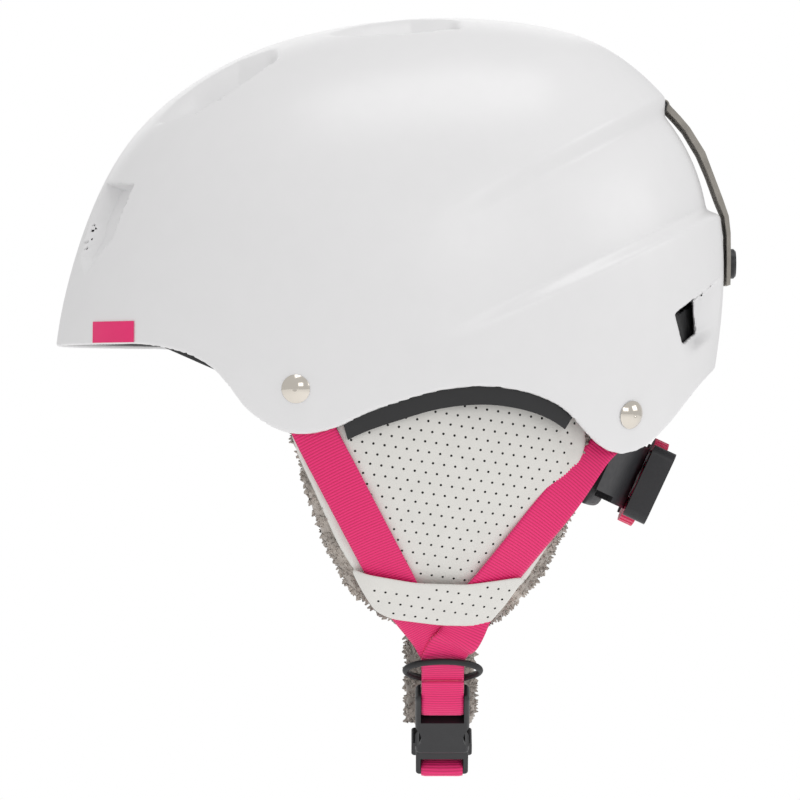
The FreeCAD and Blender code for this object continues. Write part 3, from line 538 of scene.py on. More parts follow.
def addObject(name, mesh, material):
    piece = bpy.data.objects.new(name, mesh)
    scene.collection.objects.link(piece)
    paintOnly(mesh, material)
    soften(mesh)
    return piece


def declare(piece, body, replaces=()):
    if body:
        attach(piece, body)
    if replaces:
        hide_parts(*replaces)


def vertexPlaces(mesh):
    place = np.zeros(len(mesh.vertices) * 3)
    mesh.vertices.foreach_get("co", place)
    return place.reshape(-1, 3) / mm


def settled(piece):
    mesh = bpy.data.meshes.new_from_object(piece.evaluated_get(bpy.context.evaluated_depsgraph_get()))
    mesh.name = piece.name
    piece.modifiers.clear()
    piece.data = mesh
    return mesh


def fieldPiece(name, field, facts, paint, replaces):
    cell = facts["cell"]
    spots, quads = surfaceNet(field, cell, facts["band"])
    for _ in range(3):  # walk each vertex on to the surface
        slope = slopeOf(field, spots)
        move = (field(spots) / np.maximum((slope**2).sum(1), 0.2))[:, None] * slope
        spots -= np.clip(move, -0.5 * cell, 0.5 * cell)
    piece = addObject(name, newMesh(name, spots, quads), paint)
    if 2 * len(quads) > facts["trianglesMost"]:
        thin = piece.modifiers.new("thin", "DECIMATE")
        thin.ratio = facts["trianglesMost"] / (2 * len(quads))
    mesh = settled(piece)
    slope = slopeOf(field, vertexPlaces(mesh), 0.2 * cell)
    normals = slope / (np.linalg.norm(slope, axis=1)[:, None] + 1e-9)
    mesh.normals_split_custom_set_from_vertices(normals.tolist())
    declare(piece, "helmet", replaces)
    print(name, len(quads), "quads became", len(mesh.polygons), "faces")


ventSpots = ("top_front", "top_middle", "rear")
screens = ["vent_screen_%s_%s" % (spot, side) for spot in ventSpots for side in ("left", "right")]
fieldPiece("helmetShell", shellField, shellFacts, finish["shell"], ["outer_shell"])
fieldPiece("helmetLiner", linerField, linerFacts, finish["foam"], ["impact_liner"])
fieldPiece("ventScreens", screenField, screenFacts, finish["mesh"], screens)

webbing = {"width": 17.0, "thick": 1.35, "ribPitch": 1.15, "ribHeight": 0.11, "step": 0.29, "around": 13,
           "edgeRound": 0.35, "bow": 0.25, "ribbedShare": 0.93, "edgeRibs": 0.08}


def wovenMaterial():
    material = makeMaterial("webbingPink", (0.86, 0.014, 0.17), 0.55, Sheen_Weight=0.35, Sheen_Roughness=0.4)
    nodes, links, shader = graph(material)
    along = nodes.new("ShaderNodeAttribute")
    along.attribute_name = "along"
    wave = nodes.new("ShaderNodeMath")
    wave.operation = "MULTIPLY"
    wave.inputs[1].default_value = 2 * math.pi / webbing["ribPitch"]
    sine = nodes.new("ShaderNodeMath")
    sine.operation = "SINE"
    links.new(along.outputs["Fac"], wave.inputs[0])
    links.new(wave.outputs[0], sine.inputs[0])
    spread = nodes.new("ShaderNodeMapRange")
    spread.inputs["From Min"].default_value = -1
    links.new(sine.outputs[0], spread.inputs["Value"])
    # painted shade: the grooves between the ribs are coloured darker than the rib crests
    shadedDips, crests = (0.0, (0.60, 0.006, 0.10)), (0.6, (0.88, 0.014, 0.18))
    addRamp(material, spread.outputs["Result"], [shadedDips, crests], "Base Color")
    addBump(material, addNoise(material, addCoordinates(material), 2600, 2), 0.5, 0.00012)
    return material


finish["webbing"] = wovenMaterial()
finish["leather"] = grained("leatherWhite", (0.74, 0.725, 0.69), 0.48, 1300, 0.00012, 0.02,
                            Coat_Weight=0.08, Coat_Roughness=0.4)
finish["fleece"] = grained("fleeceBeige", (0.42, 0.375, 0.335), 0.95, 900, 0.0006, 0.28,
                           Sheen_Weight=0.5, Sheen_Roughness=0.5)
finish["comfort"] = grained("comfortFabric", (0.03, 0.03, 0.033), 0.9, 1500, 0.0004, 0.3, Sheen_Weight=0.3)
# painted shade: the perforations are flat near-black discs standing in for the shade inside the holes
finish["hole"] = grained("perforationShade", (0.012, 0.011, 0.010), 0.8, 2000, 0.00005, 0.1)


def newTree(name, **inputs):
    tree = bpy.data.node_groups.new(name, "GeometryNodeTree")
    tree.interface.new_socket("Geometry", in_out="INPUT", socket_type="NodeSocketGeometry")
    kinds = {int: "NodeSocketInt", float: "NodeSocketFloat", tuple: "NodeSocketVector"}
    for label, value in inputs.items():
        kind = kinds.get(type(value), "NodeSocketMaterial")
        tree.interface.new_socket(label, in_out="INPUT", socket_type=kind)
    tree.interface.new_socket("Geometry", in_out="OUTPUT", socket_type="NodeSocketGeometry")
    return tree, tree.nodes.new("NodeGroupInput"), tree.nodes.new("NodeGroupOutput")


def closeTree(tree, geometry, material, end):
    real = tree.nodes.new("GeometryNodeRealizeInstances")
    paint = tree.nodes.new("GeometryNodeSetMaterial")
    tree.links.new(geometry, real.inputs[0])
    tree.links.new(real.outputs[0], paint.inputs["Geometry"])
    tree.links.new(material, paint.inputs["Material"])
    tree.links.new(paint.outputs[0], end.inputs[0])


def grow(piece, tree, **inputs):  # applies the tree and keeps its mesh
    modifier = piece.modifiers.new(tree.name, "NODES")
    modifier.node_group = tree
    for item in tree.interface.items_tree:
        if item.item_type == "SOCKET" and item.in_out == "INPUT" and item.name in inputs:
            modifier[item.identifier] = inputs[item.name]
    return settled(piece)


def link(tree, kind, values=(), **sources):  # _0 and _1 stand for sockets by number
    node = tree.nodes.new(kind)
    for key, value in dict(values).items():
        if isinstance(key, str) and hasattr(node, key):
            setattr(node, key, value)
        else:
            node.inputs[key].default_value = value
    for key, source in sources.items():
        tree.links.new(source, node.inputs[int(key[1:]) if key[0] == "_" else key])
    return node


def ribTree():
    tree, start, end = newTree("webbingRibs", ribPitch=1.0, ribHeight=1.0, paint=None)
    along = link(tree, "GeometryNodeInputNamedAttribute", {"data_type": "FLOAT", "Name": "along"})
    share = link(tree, "GeometryNodeInputNamedAttribute", {"data_type": "FLOAT", "Name": "ribShare"})
    turns = link(tree, "ShaderNodeMath", {"operation": "DIVIDE"}, _0=along.outputs[0],
                 _1=start.outputs["ribPitch"])
    angle = link(tree, "ShaderNodeMath", {"operation": "MULTIPLY", 1: 2 * math.pi}, _0=turns.outputs[0])
    wave = link(tree, "ShaderNodeMath", {"operation": "SINE"}, _0=angle.outputs[0])
    high = link(tree, "ShaderNodeMath", {"operation": "MULTIPLY"}, _0=wave.outputs[0],
                _1=start.outputs["ribHeight"])
    kept = link(tree, "ShaderNodeMath", {"operation": "MULTIPLY"}, _0=high.outputs[0], _1=share.outputs[0])
    normal = tree.nodes.new("GeometryNodeInputNormal")
    move = link(tree, "ShaderNodeVectorMath", {"operation": "SCALE"}, _0=normal.outputs[0],
                Scale=kept.outputs[0])
    shift = link(tree, "GeometryNodeSetPosition", {}, Geometry=start.outputs[0], Offset=move.outputs[0])
    closeTree(tree, shift.outputs[0], start.outputs["paint"], end)
    return tree


ribs = ribTree()


def sweepWebbing(name, controls, count=400):
    table = hermite([np.concatenate([c, l, [w, twist]]) for c, l, w, twist in controls], count)
    spots, lateral = table[:, :3], table[:, 3:6]
    run = np.concatenate([[0], np.cumsum(np.linalg.norm(np.diff(spots, axis=0), axis=1))])
    places = np.arange(0, run[-1], webbing["step"])
    table = np.stack([np.interp(places, run, table[:, k]) for k in range(table.shape[1])], 1)
    spots, lateral = table[:, :3], table[:, 3:6]
    tangent = np.gradient(spots, axis=0)
    tangent /= np.linalg.norm(tangent, axis=1)[:, None]
    lateral = lateral - (lateral * tangent).sum(1)[:, None] * tangent
    lateral /= np.linalg.norm(lateral, axis=1)[:, None]
    normal = np.cross(tangent, lateral)
    turn = np.radians(table[:, 7])[:, None]
    across = lateral * np.cos(turn) + normal * np.sin(turn)
    lateral, normal = across, normal * np.cos(turn) - lateral * np.sin(turn)
    around, thick = webbing["around"], webbing["thick"]
    u = np.linspace(-1, 1, around)
    upper = np.stack([u, 0.5 * thick * (1 - webbing["edgeRound"] * np.abs(u)**10)], 1)
    ring = np.concatenate([upper, upper[::-1] * [1, -1]])
    half = table[:, 6] * 0.5
    body = spots[:, None] + lateral[:, None] * (ring[None, :, :1] * half[:, None, None])
    body = body + normal[:, None] * ring[None, :, 1:]
    rows, cols = body.shape[:2]
    index = np.arange(rows * cols).reshape(rows, cols)
    a, b = index[:-1], index[1:]
    nextA, nextB = np.roll(a, -1, 1), np.roll(b, -1, 1)
    quads = np.stack([a, b, nextB, nextA], -1).reshape(-1, 4)[:, ::-1]
    faces = quads.tolist()
    for end, flip in ((index[0], True), (index[-1], False)):  # strips close each end
        for k in range(around - 1):
            face = [end[k], end[k + 1], end[cols - 2 - k], end[cols - 1 - k]]
            faces.append(face[::-1] if flip else face)
    mesh = newMesh(name, body.reshape(-1, 3), faces)
    along = mesh.attributes.new("along", "FLOAT", "POINT")
    bow = webbing["bow"] * (1 - ring[:, 0]**2)
    along.data.foreach_set("value", ((places[:, None] + bow[None]).ravel()).astype(np.float32))
    share = mesh.attributes.new("ribShare", "FLOAT", "POINT")
    ribbed = np.where(np.abs(ring[:, 0]) < webbing["ribbedShare"], 1.0, webbing["edgeRibs"])
    share.data.foreach_set("value", np.tile(ribbed, rows).astype(np.float32))
    return mesh


def facesOut(mesh):
    work = bmesh.new()
    work.from_mesh(mesh)
    bmesh.ops.recalc_face_normals(work, faces=work.faces)
    if work.calc_volume(signed=True) < 0:
        bmesh.ops.reverse_faces(work, faces=work.faces)
    work.to_mesh(mesh)
    work.free()
    return mesh


barrel = {"reach": 145.5, "bow": 180.0, "bowY": -5.0, "axisX": -48.0, "axisZ": -20.0}  # the pads' outer side


def barrelX(y, z, lift):
    radius = barrel["reach"] - barrel["bow"] + np.sqrt((barrel["bow"] + lift)**2 - (y - barrel["bowY"])**2)
    return barrel["axisX"] + np.sqrt(radius**2 - (z - barrel["axisZ"])**2)


# the buckle's own leaning frame
leg = {"foot": np.array([21.244, 20.5, -164.179]), "up": np.array([0.63877, 0, 0.76940]),
       "out": np.array([0.76940, 0, -0.63877])}


def legSpot(y, z):
    return leg["foot"] + leg["up"] * y + leg["out"] * z


def onBarrel(y, z, lift, direction, side=1, width=17.0, twist=0.0):
    across = np.array([0, -direction[1], direction[0]], float)  # square to the route, towards the rear
    across /= np.linalg.norm(across) * (1 if across[1] > 0 else -1)
    rise = barrelX(y + across[1], z + across[2], lift) - barrelX(y - across[1], z - across[2], lift)
    across[0] = side * rise / 2
    return (np.array([side * barrelX(y, z, lift), y, z]), across, width, twist)


def onLeg(y, z, shift=(0, 0, 0), lateral=(0.0, 1, 0)):
    return (legSpot(y, z) + list(shift), np.array(lateral), webbing["width"], 0)


strapRuns = {
    "front": {"route": [(-38.6, -14), (-36.5, -20), (-29.8, -35), (-19.8, -54.3), (-10, -73.2), (0, -92.5),
                        (5.2, -102)],
              "way": (51.2, -94), "lift": 1.0, "lowLift": 0,
              "widths": [17, 17, 17, 17, 17, 17, 17], "twists": [0, 0, 0, 0, 0, 0, 0]},
    "rear": {"route": [(92, -30.5), (86, -38), (80.1, -44.8), (67, -61), (54, -77.2), (41.1, -93.2),
                       (34.5, -101.5)],
             "way": (-71.7, -82), "lift": 1.0, "lowLift": 0.9,
             "widths": [13, 12, 11.5, 15.5, 17, 17, 17], "twists": [10, 24, 30, 12, 0, 0, 0]},
}
crossingZ = -90  # below this the rear strap lies over the front one


def strapControls(kind, side):
    run = strapRuns[kind]
    controls = []
    for (y, z), width, twist in zip(run["route"], run["widths"], run["twists"]):
        lift = run["lift"] + (run["lowLift"] if z < crossingZ else 0)
        controls.append(onBarrel(y, z, lift, run["way"], side, width, twist * side))
    return controls


def webbingPiece(name, controls, body, replaces):
    mesh = facesOut(sweepWebbing(name, controls))
    piece = addObject(name, mesh, finish["webbing"])
    grow(piece, ribs, ribPitch=webbing["ribPitch"], ribHeight=webbing["ribHeight"] * mm, paint=finish["webbing"])
    soften(piece.data)
    declare(piece, body, replaces)
    return piece


leftFront = strapControls("front", 1) + [
    onLeg(62.5, -0.9, (0, -5.0, 0), (0, 0.97, 0.2)), onLeg(56, -0.8, (0, -2.2, 0), (0, 0.99, 0.1)),
    onLeg(49, -0.75), onLeg(40, -0.75), onLeg(34, -0.9), onLeg(30, -2.6), onLeg(26.5, -3.35), onLeg(22.6, -3.0),
    onLeg(20.9, -1.4), onLeg(20.9, 1.4), onLeg(22.6, 3.0), onLeg(26.5, 3.35), onLeg(30, 3.0), onLeg(34, 2.3),
    onLeg(39.2, 2.1)]
leftRear = strapControls("rear", 1) + [
    onLeg(63.5, 1.1, (0, 7.0, 0), (0, 0.97, -0.22)), onLeg(57, 0.8, (0, 2.6, 0), (0, 0.99, -0.1)),
    onLeg(50, 0.7), onLeg(43, 0.7), onLeg(36.5, 0.7)]
webbingPiece("frontStrapLeft", leftFront, "helmet", ["front_strap_left", "chin_webbing_left"])
webbingPiece("rearStrapLeft", leftRear, "helmet", ["rear_strap_left"])

# the right straps pass under the chin to the buckle's male half
rightFront = strapControls("front", -1) + [
    onLeg(-11.4, -93, (-3.0, -4.5, 2.5), (0, 0.97, 0.2)), onLeg(-11.9, -86), onLeg(-11.8, -60), onLeg(-11.8, -30),
    onLeg(-11.8, -9), onLeg(-12.6, -5.5), onLeg(-13.2, -2), onLeg(-13.0, 2.4), onLeg(-11, 3.9), onLeg(-9, 2.4),
    onLeg(-8.8, -2), onLeg(-9.4, -5.5), onLeg(-10.2, -9), onLeg(-10.2, -24)]
rightRear = strapControls("rear", -1) + [
    onLeg(-13.2, -93, (-3.0, 5.5, 2.5), (0, 0.97, -0.2)), onLeg(-13.4, -86), onLeg(-13.3, -82)]
for name, controls, stoodFor in (
        ("frontStrapRight", rightFront, ["front_strap_right", "chin_webbing_right"]),
        ("rearStrapRight", rightRear, ["rear_strap_right"])):
    piece = webbingPiece(name, controls, None, stoodFor)
    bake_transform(piece)
print("webbing woven")

# leather covers and their strap loops, cut as sheets over the pads
coverOutline = [(-41, -19), (-39.5, -34), (-36.5, -44), (-31, -56), (-21.5, -78), (-14, -91), (-7, -101),
                (1, -107.5), (13, -110.3), (34, -110.3), (44, -104), (54, -93), (62, -80), (68, -66), (74, -52),
                (77, -38), (76, -19)]
loopOutline = [(-16.5, -88), (-9.8, -90.7), (9.7, -94.2), (30, -95), (53, -92), (46, -102.5), (37.9, -112.3),
               (19.2, -111.6), (0, -108.9), (-6.6, -105.7), (-12, -97)]
leather = {"spacing": 2.3, "seamRows": (0.35, 1.0, 1.8), "seamClear": 2.4, "crease": 0.12, "puff": 0.25,
           "puffReach": 20.0, "sunk": 0.1, "coverRoll": (1.6, 1.3), "loopRoll": (0.9, 0.55),
           "stitchAt": 3.2, "stitchWide": 0.8, "stitchDeep": 0.35}


def denseOutline(corners, spacing):
    corners = [np.array(c, float) for c in corners] + [np.array(corners[0], float)]
    spots = []
    for a, b in zip(corners[:-1], corners[1:]):
        count = max(1, int(round(np.linalg.norm(b - a) / spacing)))
        spots += [a + (b - a) * k / count for k in range(count)]
    spots = np.array(spots)
    for _ in range(3):
        spots = (np.roll(spots, 1, 0) + 2 * spots + np.roll(spots, -1, 0)) / 4
    return spots


def insideDistance(points, outline):
    nearest = np.full(len(points), 1e9)
    odd = np.zeros(len(points), bool)
    y, z = points[:, 0], points[:, 1]
    for a, b in zip(outline, np.roll(outline, -1, 0)):
        d = b - a
        t = np.clip(((y - a[0]) * d[0] + (z - a[1]) * d[1]) / (d @ d), 0, 1)
        nearest = np.minimum(nearest, np.hypot(y - a[0] - t * d[0], z - a[1] - t * d[1]))
        odd ^= ((a[1] > z) != (b[1] > z)) & (y < (b[0] - a[0]) * (z - a[1]) / (b[1] - a[1] + 1e-12) + a[0])
    return np.where(odd, nearest, -nearest)


def seamRing(outline, inset):
    normal = np.roll(outline, -1, 0) - np.roll(outline, 1, 0)
    normal = np.stack([-normal[:, 1], normal[:, 0]], 1) / np.linalg.norm(normal, axis=1)[:, None]
    ring = outline + normal * inset
    return ring if insideDistance(ring, outline).mean() >= 0 else outline - normal * inset


def cutSheet(name, corners, spacing, bottom, topAt):
    outline = denseOutline(corners, spacing * 0.8)
    low, high = outline.min(0), outline.max(0)
    rows = np.arange(low[1], high[1], spacing * 0.87)
    columns = np.arange(low[0], high[0], spacing)
    grid = np.array([(y + (k % 2) * spacing / 2, z) for k, z in enumerate(rows) for y in columns])
    inner = grid[insideDistance(grid, outline) > leather["seamClear"]]
    count = len(outline)
    seam = [seamRing(outline, inset) for inset in leather["seamRows"]]
    flat = np.concatenate([outline] + seam + [inner])
    edges = [(k, (k + 1) % count) for k in range(count)]
    spots, _, triangles, *_ = delaunay_2d_cdt([Vector(p) for p in flat], edges, [], 1, 1e-5)
    flat = np.array([tuple(p) for p in spots])
    depth = np.maximum(insideDistance(flat, outline), 0)
    top = topAt(flat[:, 0], flat[:, 1], depth)
    low = bottom(flat[:, 0], flat[:, 1])
    size = len(flat)
    upper = np.stack([barrelX(flat[:, 0], flat[:, 1], top), flat[:, 0], flat[:, 1]], 1)
    lower = np.stack([barrelX(flat[:, 0], flat[:, 1], low), flat[:, 0], flat[:, 1]], 1)
    faces = [list(t) for t in triangles] + [[i + size for i in reversed(t)] for t in triangles]
    edgeUse = {}
    for t in triangles:
        for a, b in zip(t, list(t[1:]) + [t[0]]):
            edgeUse[(a, b)] = edgeUse.get((a, b), 0) + 1
    for a, b in [e for e in edgeUse if (e[1], e[0]) not in edgeUse]:
        faces.append([b, a, a + size, b + size])
    mesh = facesOut(newMesh(name, np.concatenate([upper, lower]), faces))
    edge = mesh.attributes.new("edgeDistance", "FLOAT", "POINT")
    edge.data.foreach_set("value", np.concatenate([depth, np.full(size, -1)]).astype(np.float32))
    return mesh


def roll(depth, radius, drop):
    t = np.clip(depth / radius, 0, 1)
    return -drop * (1 - np.sqrt(np.clip(1 - (1 - t)**2, 0, 1)))


def coverTop(y, z, depth):
    wrinkle = leather["crease"] * np.sin(0.19 * y + 0.31 * z) * np.sin(0.11 * z - 0.07 * y + 1.0)
    # a sewn line pulls the leather in
    stitched = -leather["stitchDeep"] * np.exp(-((depth - leather["stitchAt"]) / leather["stitchWide"])**2)
    full = (wrinkle + leather["puff"] * smooth(depth / leather["puffReach"])) * smooth(depth / 4)
    return roll(depth, *leather["coverRoll"]) + full + stitched - leather["sunk"]


def coverBottom(y, z):
    return np.full(len(y), -2.4)


loop = {"frontEnd": -17.5, "frontRamp": 8.5, "rearEnd": 60.5, "rearLean": 0.75, "rearZ": -92, "rearRamp": 6,
        "top": 1.4, "topLift": 3.0, "bottom": 0.15, "bottomLift": 3.25, "bulge": 0.5,
        "frontBulge": (4, 9), "rearBulge": (36, 11), "bulgeShare": 0.25}


def loopEnds(y, z):  # 0 where the band is sewn down, 1 where it stands over the straps
    rear = loop["rearEnd"] - y + loop["rearLean"] * (z - loop["rearZ"])
    return smooth((y - loop["frontEnd"]) / loop["frontRamp"]) * smooth(rear / loop["rearRamp"])


def loopTop(y, z, depth):
    strapSpots = (loop["frontBulge"], loop["rearBulge"])
    bulges = [loop["bulge"] * np.exp(-((y - at) / wide)**2) for at, wide in strapSpots]
    raised = loop["top"] + loop["topLift"] * loopEnds(y, z)
    return raised + roll(depth, *leather["loopRoll"]) + loop["bulgeShare"] * sum(bulges) * smooth(depth / 3)


def loopBottom(y, z):
    return loop["bottom"] + loop["bottomLift"] * loopEnds(y, z)


dots = {"pitch": 4.4, "rowPitch": 4.0, "radius": 0.52, "tilt": -9.0, "away": 0.3}


def dotTree():
    tree, start, end = newTree("perforations", pitch=1.0, rowPitch=1.0, radius=1.0, tilt=1.0, margin=1.0,
                               centre=(0, 0, 0), paint=None)
    wide = link(tree, "ShaderNodeMath", {"operation": "MULTIPLY", 1: 40.0}, _0=start.outputs["pitch"])
    tall = link(tree, "ShaderNodeMath", {"operation": "MULTIPLY", 1: 60.0}, _0=start.outputs["rowPitch"])
    grid = link(tree, "GeometryNodeMeshGrid", {"Vertices X": 41, "Vertices Y": 31},
                **{"Size X": wide.outputs[0], "Size Y": tall.outputs[0]})
    halfPitch = link(tree, "ShaderNodeMath", {"operation": "MULTIPLY", 1: 0.5}, _0=start.outputs["pitch"])
    offset = link(tree, "ShaderNodeCombineXYZ", {}, X=halfPitch.outputs[0], Y=start.outputs["rowPitch"])
    between = link(tree, "GeometryNodeTransform", {}, Geometry=grid.outputs[0], Translation=offset.outputs[0])
    both = tree.nodes.new("GeometryNodeJoinGeometry")
    tree.links.new(grid.outputs[0], both.inputs[0])
    tree.links.new(between.outputs[0], both.inputs[0])
    turn = link(tree, "ShaderNodeCombineXYZ", {}, Z=start.outputs["tilt"])
    tilted = link(tree, "GeometryNodeTransform", {}, Geometry=both.outputs[0], Rotation=turn.outputs[0])
    stood = link(tree, "GeometryNodeTransform", {"Rotation": (math.pi / 2, 0, math.pi / 2)},
                 Geometry=tilted.outputs[0], Translation=start.outputs["centre"])
    edge = link(tree, "GeometryNodeInputNamedAttribute", {"data_type": "FLOAT", "Name": "edgeDistance"})
    ray = link(tree, "GeometryNodeRaycast",
               {"data_type": "FLOAT", "Ray Direction": (-1, 0, 0), "Ray Length": 0.5}, Attribute=edge.outputs[0])
    tree.links.new(start.outputs[0], ray.inputs["Target Geometry"])
    keep = link(tree, "FunctionNodeCompare", {"operation": "GREATER_THAN"}, _0=ray.outputs["Attribute"],
                _1=start.outputs["margin"])
    hitToo = link(tree, "FunctionNodeBooleanMath", {"operation": "AND"}, _0=ray.outputs["Is Hit"],
                  _1=keep.outputs[0])
    facing = link(tree, "FunctionNodeAlignRotationToVector", {"axis": "Z"}, Vector=ray.outputs["Hit Normal"])
    store = link(tree, "GeometryNodeStoreNamedAttribute",
                 {"data_type": "BOOLEAN", "domain": "POINT", "Name": "wanted"},
                 Geometry=stood.outputs[0], Value=hitToo.outputs[0])
    # each perforation is a thin disc of painted shade laid on the leather
    disc = link(tree, "GeometryNodeMeshCone",
                {"Vertices": 9, "Side Segments": 1, "Depth": 0.00012, "Radius Top": 0.00001},
                **{"Radius Bottom": start.outputs["radius"]})
    wanted = link(tree, "GeometryNodeInputNamedAttribute", {"data_type": "BOOLEAN", "Name": "wanted"})
    turned = link(tree, "GeometryNodeStoreNamedAttribute",
                  {"data_type": "QUATERNION", "domain": "POINT", "Name": "facing"},
                  Geometry=store.outputs[0], Value=facing.outputs[0])
    place = link(tree, "GeometryNodeSetPosition", {}, Geometry=turned.outputs[0],
                 Position=ray.outputs["Hit Position"])
    way = link(tree, "GeometryNodeInputNamedAttribute", {"data_type": "QUATERNION", "Name": "facing"})
    points = link(tree, "GeometryNodeInstanceOnPoints", {}, Points=place.outputs[0],
                  Selection=wanted.outputs[0], Instance=disc.outputs[0], Rotation=way.outputs[0])
    closeTree(tree, points.outputs[0], start.outputs["paint"], end)
    return tree


perforations = dotTree()


def copyOf(piece, name):
    twin = bpy.data.objects.new(name, piece.data.copy())
    scene.collection.objects.link(twin)
    return twin


def mirrored(piece, name):
    twin = copyOf(piece, name)
    twin.data.transform(Matrix.Diagonal((-1, 1, 1, 1)))
    twin.data.flip_normals()
    twin.data.name = name
    return twin


earPads = {
    "Cover": {"outline": coverOutline, "bottom": coverBottom, "top": coverTop,
              "middle": (0.0193, -0.0553), "margin": 4.2},
    "Loop": {"outline": loopOutline, "bottom": loopBottom, "top": loopTop,
             "middle": (0.0193, -0.1013), "margin": 2.0},
}
for kind, facts in earPads.items():
    name = "earPad" + kind
    mesh = cutSheet(name + "Left", facts["outline"], leather["spacing"], facts["bottom"], facts["top"])
    piece = addObject(name + "Left", mesh, finish["leather"])
    holes = copyOf(piece, name + "HolesLeft")
    grow(holes, perforations, pitch=dots["pitch"] * mm, rowPitch=dots["rowPitch"] * mm, radius=dots["radius"] * mm,
         tilt=math.radians(dots["tilt"]), margin=facts["margin"], centre=(dots["away"], *facts["middle"]),
         paint=finish["hole"])
    node = "ear_pad_%s_" % kind.lower()
    declare(piece, "helmet", [node + "left"])
    declare(holes, "helmet")
    declare(mirrored(piece, name + "Right"), "helmet", [node + "right"])
    declare(mirrored(holes, name + "HolesRight"), "helmet")
    print(name, "cut,", len(holes.data.polygons), "hole faces")

# padding, puffed by a cloth simulation; the cap is how far it may swell, in millimetres
fleecePad = {"finish": "fleece", "slot": "pad_fleece", "fill": 0.6, "tufts": True}
fabricPad = {"finish": "comfort", "slot": "comfort_fabric", "cap": 1.5, "fill": 0.5, "tufts": False,
             "body": "helmet"}
padFacts = {
    "ear_pad_lining_left": {**fleecePad, "cell": 3.6, "cap": 1.3, "body": "helmet"},
    "chin_pad": {**fleecePad, "cell": 3.0, "cap": 1.2, "body": "buckle_half"},
    "nape_pad": {**fabricPad, "cell": 3.4, "fill": 0.6},
    "brow_pad": {**fabricPad, "cell": 4.0},
    "crown_pad": {**fabricPad, "cell": 4.5},
    "side_pad_left": {**fabricPad, "cell": 4.0},
}
puff = {"pressure": 4, "frames": 20, "weld": 0.00001, "relax": 3}
tuft = {"density": 300000.0, "wide": 0.75, "tall": 1.5, "lean": 0.75, "seed": 7, "smallest": 0.6, "largest": 1.35,
        "sizeSeed": 3, "tipShare": 0.3, "spin": 3.14}


def tuftTree():
    tree, start, end = newTree("fleeceTufts", density=1.0, wide=1.0, tall=1.0, lean=1.0, seed=1, paint=None)
    points = link(tree, "GeometryNodeDistributePointsOnFaces", {}, _0=start.outputs[0],
                  Density=start.outputs["density"], Seed=start.outputs["seed"])
    cone = link(tree, "GeometryNodeMeshCone", {"Vertices": 5, "Fill Segments": 1},
                **{"Radius Bottom": start.outputs["wide"], "Depth": start.outputs["tall"]})
    cone.fill_type = "NONE"
    tip = link(tree, "ShaderNodeMath", {"operation": "MULTIPLY", 1: tuft["tipShare"]},
               _0=start.outputs["wide"])
    tree.links.new(tip.outputs[0], cone.inputs["Radius Top"])
    seedMore = link(tree, "ShaderNodeMath", {"operation": "ADD", 1: 1.0}, _0=start.outputs["seed"])
    low = link(tree, "ShaderNodeMath", {"operation": "MULTIPLY", 1: -1.0}, _0=start.outputs["lean"])
    lowest = link(tree, "ShaderNodeCombineXYZ", {"Z": -tuft["spin"]}, X=low.outputs[0], Y=low.outputs[0])
    highest = link(tree, "ShaderNodeCombineXYZ", {"Z": tuft["spin"]}, X=start.outputs["lean"],
                   Y=start.outputs["lean"])
    wobble = tree.nodes.new("FunctionNodeRandomValue")
    wobble.data_type = "FLOAT_VECTOR"
    tree.links.new(lowest.outputs[0], wobble.inputs[0])
    tree.links.new(highest.outputs[0], wobble.inputs[1])
    tree.links.new(seedMore.outputs[0], wobble.inputs["Seed"])
    size = tree.nodes.new("FunctionNodeRandomValue")
    size.inputs[2].default_value = tuft["smallest"]
    size.inputs[3].default_value = tuft["largest"]
    size.inputs["Seed"].default_value = tuft["sizeSeed"]
    turned = link(tree, "FunctionNodeRotateRotation", {"rotation_space": "LOCAL"},
                  _0=points.outputs["Rotation"], _1=wobble.outputs[0])
    placed = link(tree, "GeometryNodeInstanceOnPoints", {}, Points=points.outputs[0],
                  Instance=cone.outputs[0], Rotation=turned.outputs[0], Scale=size.outputs[1])
    closeTree(tree, placed.outputs[0], start.outputs["paint"], end)
    return tree


tufts = tuftTree()


def puffedCopy(node, facts):
    piece = bpy.data.objects.new(node + "Soft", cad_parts[node].data.copy())
    scene.collection.objects.link(piece)
    work = bmesh.new()
    work.from_mesh(piece.data)
    bmesh.ops.remove_doubles(work, verts=work.verts, dist=puff["weld"])
    work.to_mesh(piece.data)
    work.free()
    remesh = piece.modifiers.new("evenCells", "REMESH")
    remesh.mode = "VOXEL"
    remesh.voxel_size = facts["cell"] * mm
    settled(piece)
    before = vertexPlaces(piece.data)
    cloth = piece.modifiers.new("puff", "CLOTH")
    cloth.settings.use_pressure = True
    cloth.settings.uniform_pressure_force = puff["pressure"]
    cloth.settings.effector_weights.gravity = 0
    for frameNumber in range(1, puff["frames"] + 1):
        scene.frame_set(frameNumber)
    swollen = piece.evaluated_get(bpy.context.evaluated_depsgraph_get())
    after = vertexPlaces(bpy.data.meshes.new_from_object(swollen))
    piece.modifiers.clear()
    scene.frame_set(1)
    move = after - before
    long = np.linalg.norm(move, axis=1)[:, None] + 1e-9
    spots = before + move * np.minimum(1, facts["cap"] / long)
    piece.data.vertices.foreach_set("co", (spots * mm).astype(np.float32).ravel())
    relax = piece.modifiers.new("relax", "SMOOTH")
    relax.factor, relax.iterations = 0.5, puff["relax"]
    fine = piece.modifiers.new("fine", "SUBSURF")
    fine.levels = fine.render_levels = 1
    mesh = settled(piece)
    paintOnly(mesh, finish[facts["finish"]])
    soften(mesh)
    return piece


hidden = {"spacing": 4.0, "inside": 0.5, "facing": 0.1, "above": -24}


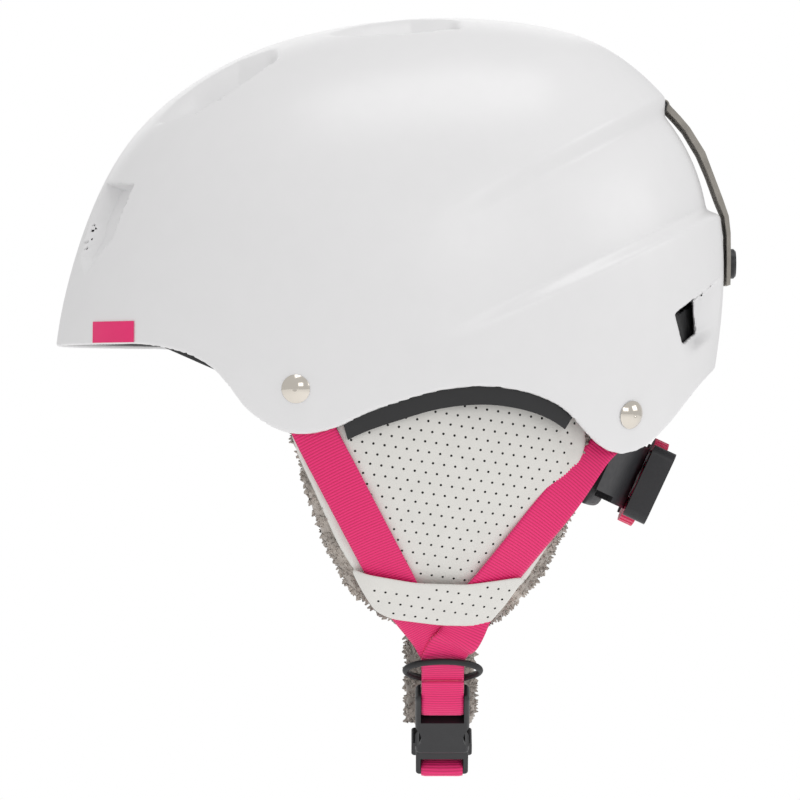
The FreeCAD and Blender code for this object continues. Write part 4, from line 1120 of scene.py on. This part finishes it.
def trimHidden(mesh):  # no tufts where the leather cover or the shell lies over the lining
    work = bmesh.new()
    work.from_mesh(mesh)
    work.normal_update()
    outline = denseOutline(coverOutline, hidden["spacing"])
    middles = np.array([face.calc_center_median() for face in work.faces]) / mm
    under = insideDistance(middles[:, 1:], outline) > hidden["inside"]
    covered = []
    for face, middle, inside in zip(work.faces, middles, under):
        if (inside and face.normal.x > hidden["facing"]) or middle[2] > hidden["above"]:
            covered.append(face)
    bmesh.ops.delete(work, geom=covered, context="FACES")
    work.to_mesh(mesh)
    work.free()


def tuftedCopy(piece, node):
    fur = copyOf(piece, node + "Tufts")
    if "ear_pad" in node:
        trimHidden(fur.data)
    grow(fur, tufts, density=tuft["density"], wide=tuft["wide"] * mm, tall=tuft["tall"] * mm, lean=tuft["lean"],
         seed=tuft["seed"], paint=finish["fleece"])
    return fur


for node, facts in padFacts.items():
    body, slot, other = facts["body"], facts["slot"], node.replace("_left", "_right")
    pads = [(puffedCopy(node, facts), node)]
    furs = [tuftedCopy(pads[0][0], node)] if facts["tufts"] else []
    if other != node:
        pads.append((mirrored(pads[0][0], other + "Soft"), other))
        furs += [mirrored(fur, other + "Tufts") for fur in furs]
    for fur in furs:
        declare(fur, body)
    for pad, stoodFor in pads:
        declare(pad, body, [stoodFor])
    print(node, "puffed,", len(pads[0][0].data.polygons), "faces,", len(furs), "tuft pieces")

# finishes of the CAD pieces that stay in view; black nylon where none is named
nodeFinish = {
    "ear_trim_left": "trim", "ear_trim_right": "trim", "strap_rivets": "nickel", "rivet_washers": "steel",
    "fit_dial": "pinkPlastic", "dial_pinion": "gear", "goggle_keeper": "elastic", "snap_cap": "plastic",
    "snap_stud": "steel", "rim_patch": "patch", "dial_axle": "steel", "detent_spring": "steel",
    "keeper_ring": "rubber", "keeper_anchor": "rubber", "head_band_left": "fit", "head_band_right": "fit",
    "band_guide_left": "fit", "band_guide_right": "fit", "fit_housing": "fit", "cradle_frame": "fit",
    "fit_cover": "fit",
}
for node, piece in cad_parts.items():
    paintOnly(piece.data, finish[nodeFinish.get(node, "plastic")])

floorFacts = {"reach": 3.6, "sides": 96, "glow": 0.3}
corners = [2 * math.pi * k / floorFacts["sides"] for k in range(floorFacts["sides"])]
reach = floorFacts["reach"]
floorSpots = [(reach * math.cos(a), reach * math.sin(a), view["floorZ"]) for a in corners]
floorFinish = grained("floorPale", (0.9, 0.9, 0.9), 0.9, 30, 0.0001, 0.01, Emission_Strength=floorFacts["glow"],
                      Emission_Color=(1, 1, 1, 1))
floor = addObject("floor", newMesh("floor", floorSpots, [range(len(floorSpots))], 1), floorFinish)

print("finished")
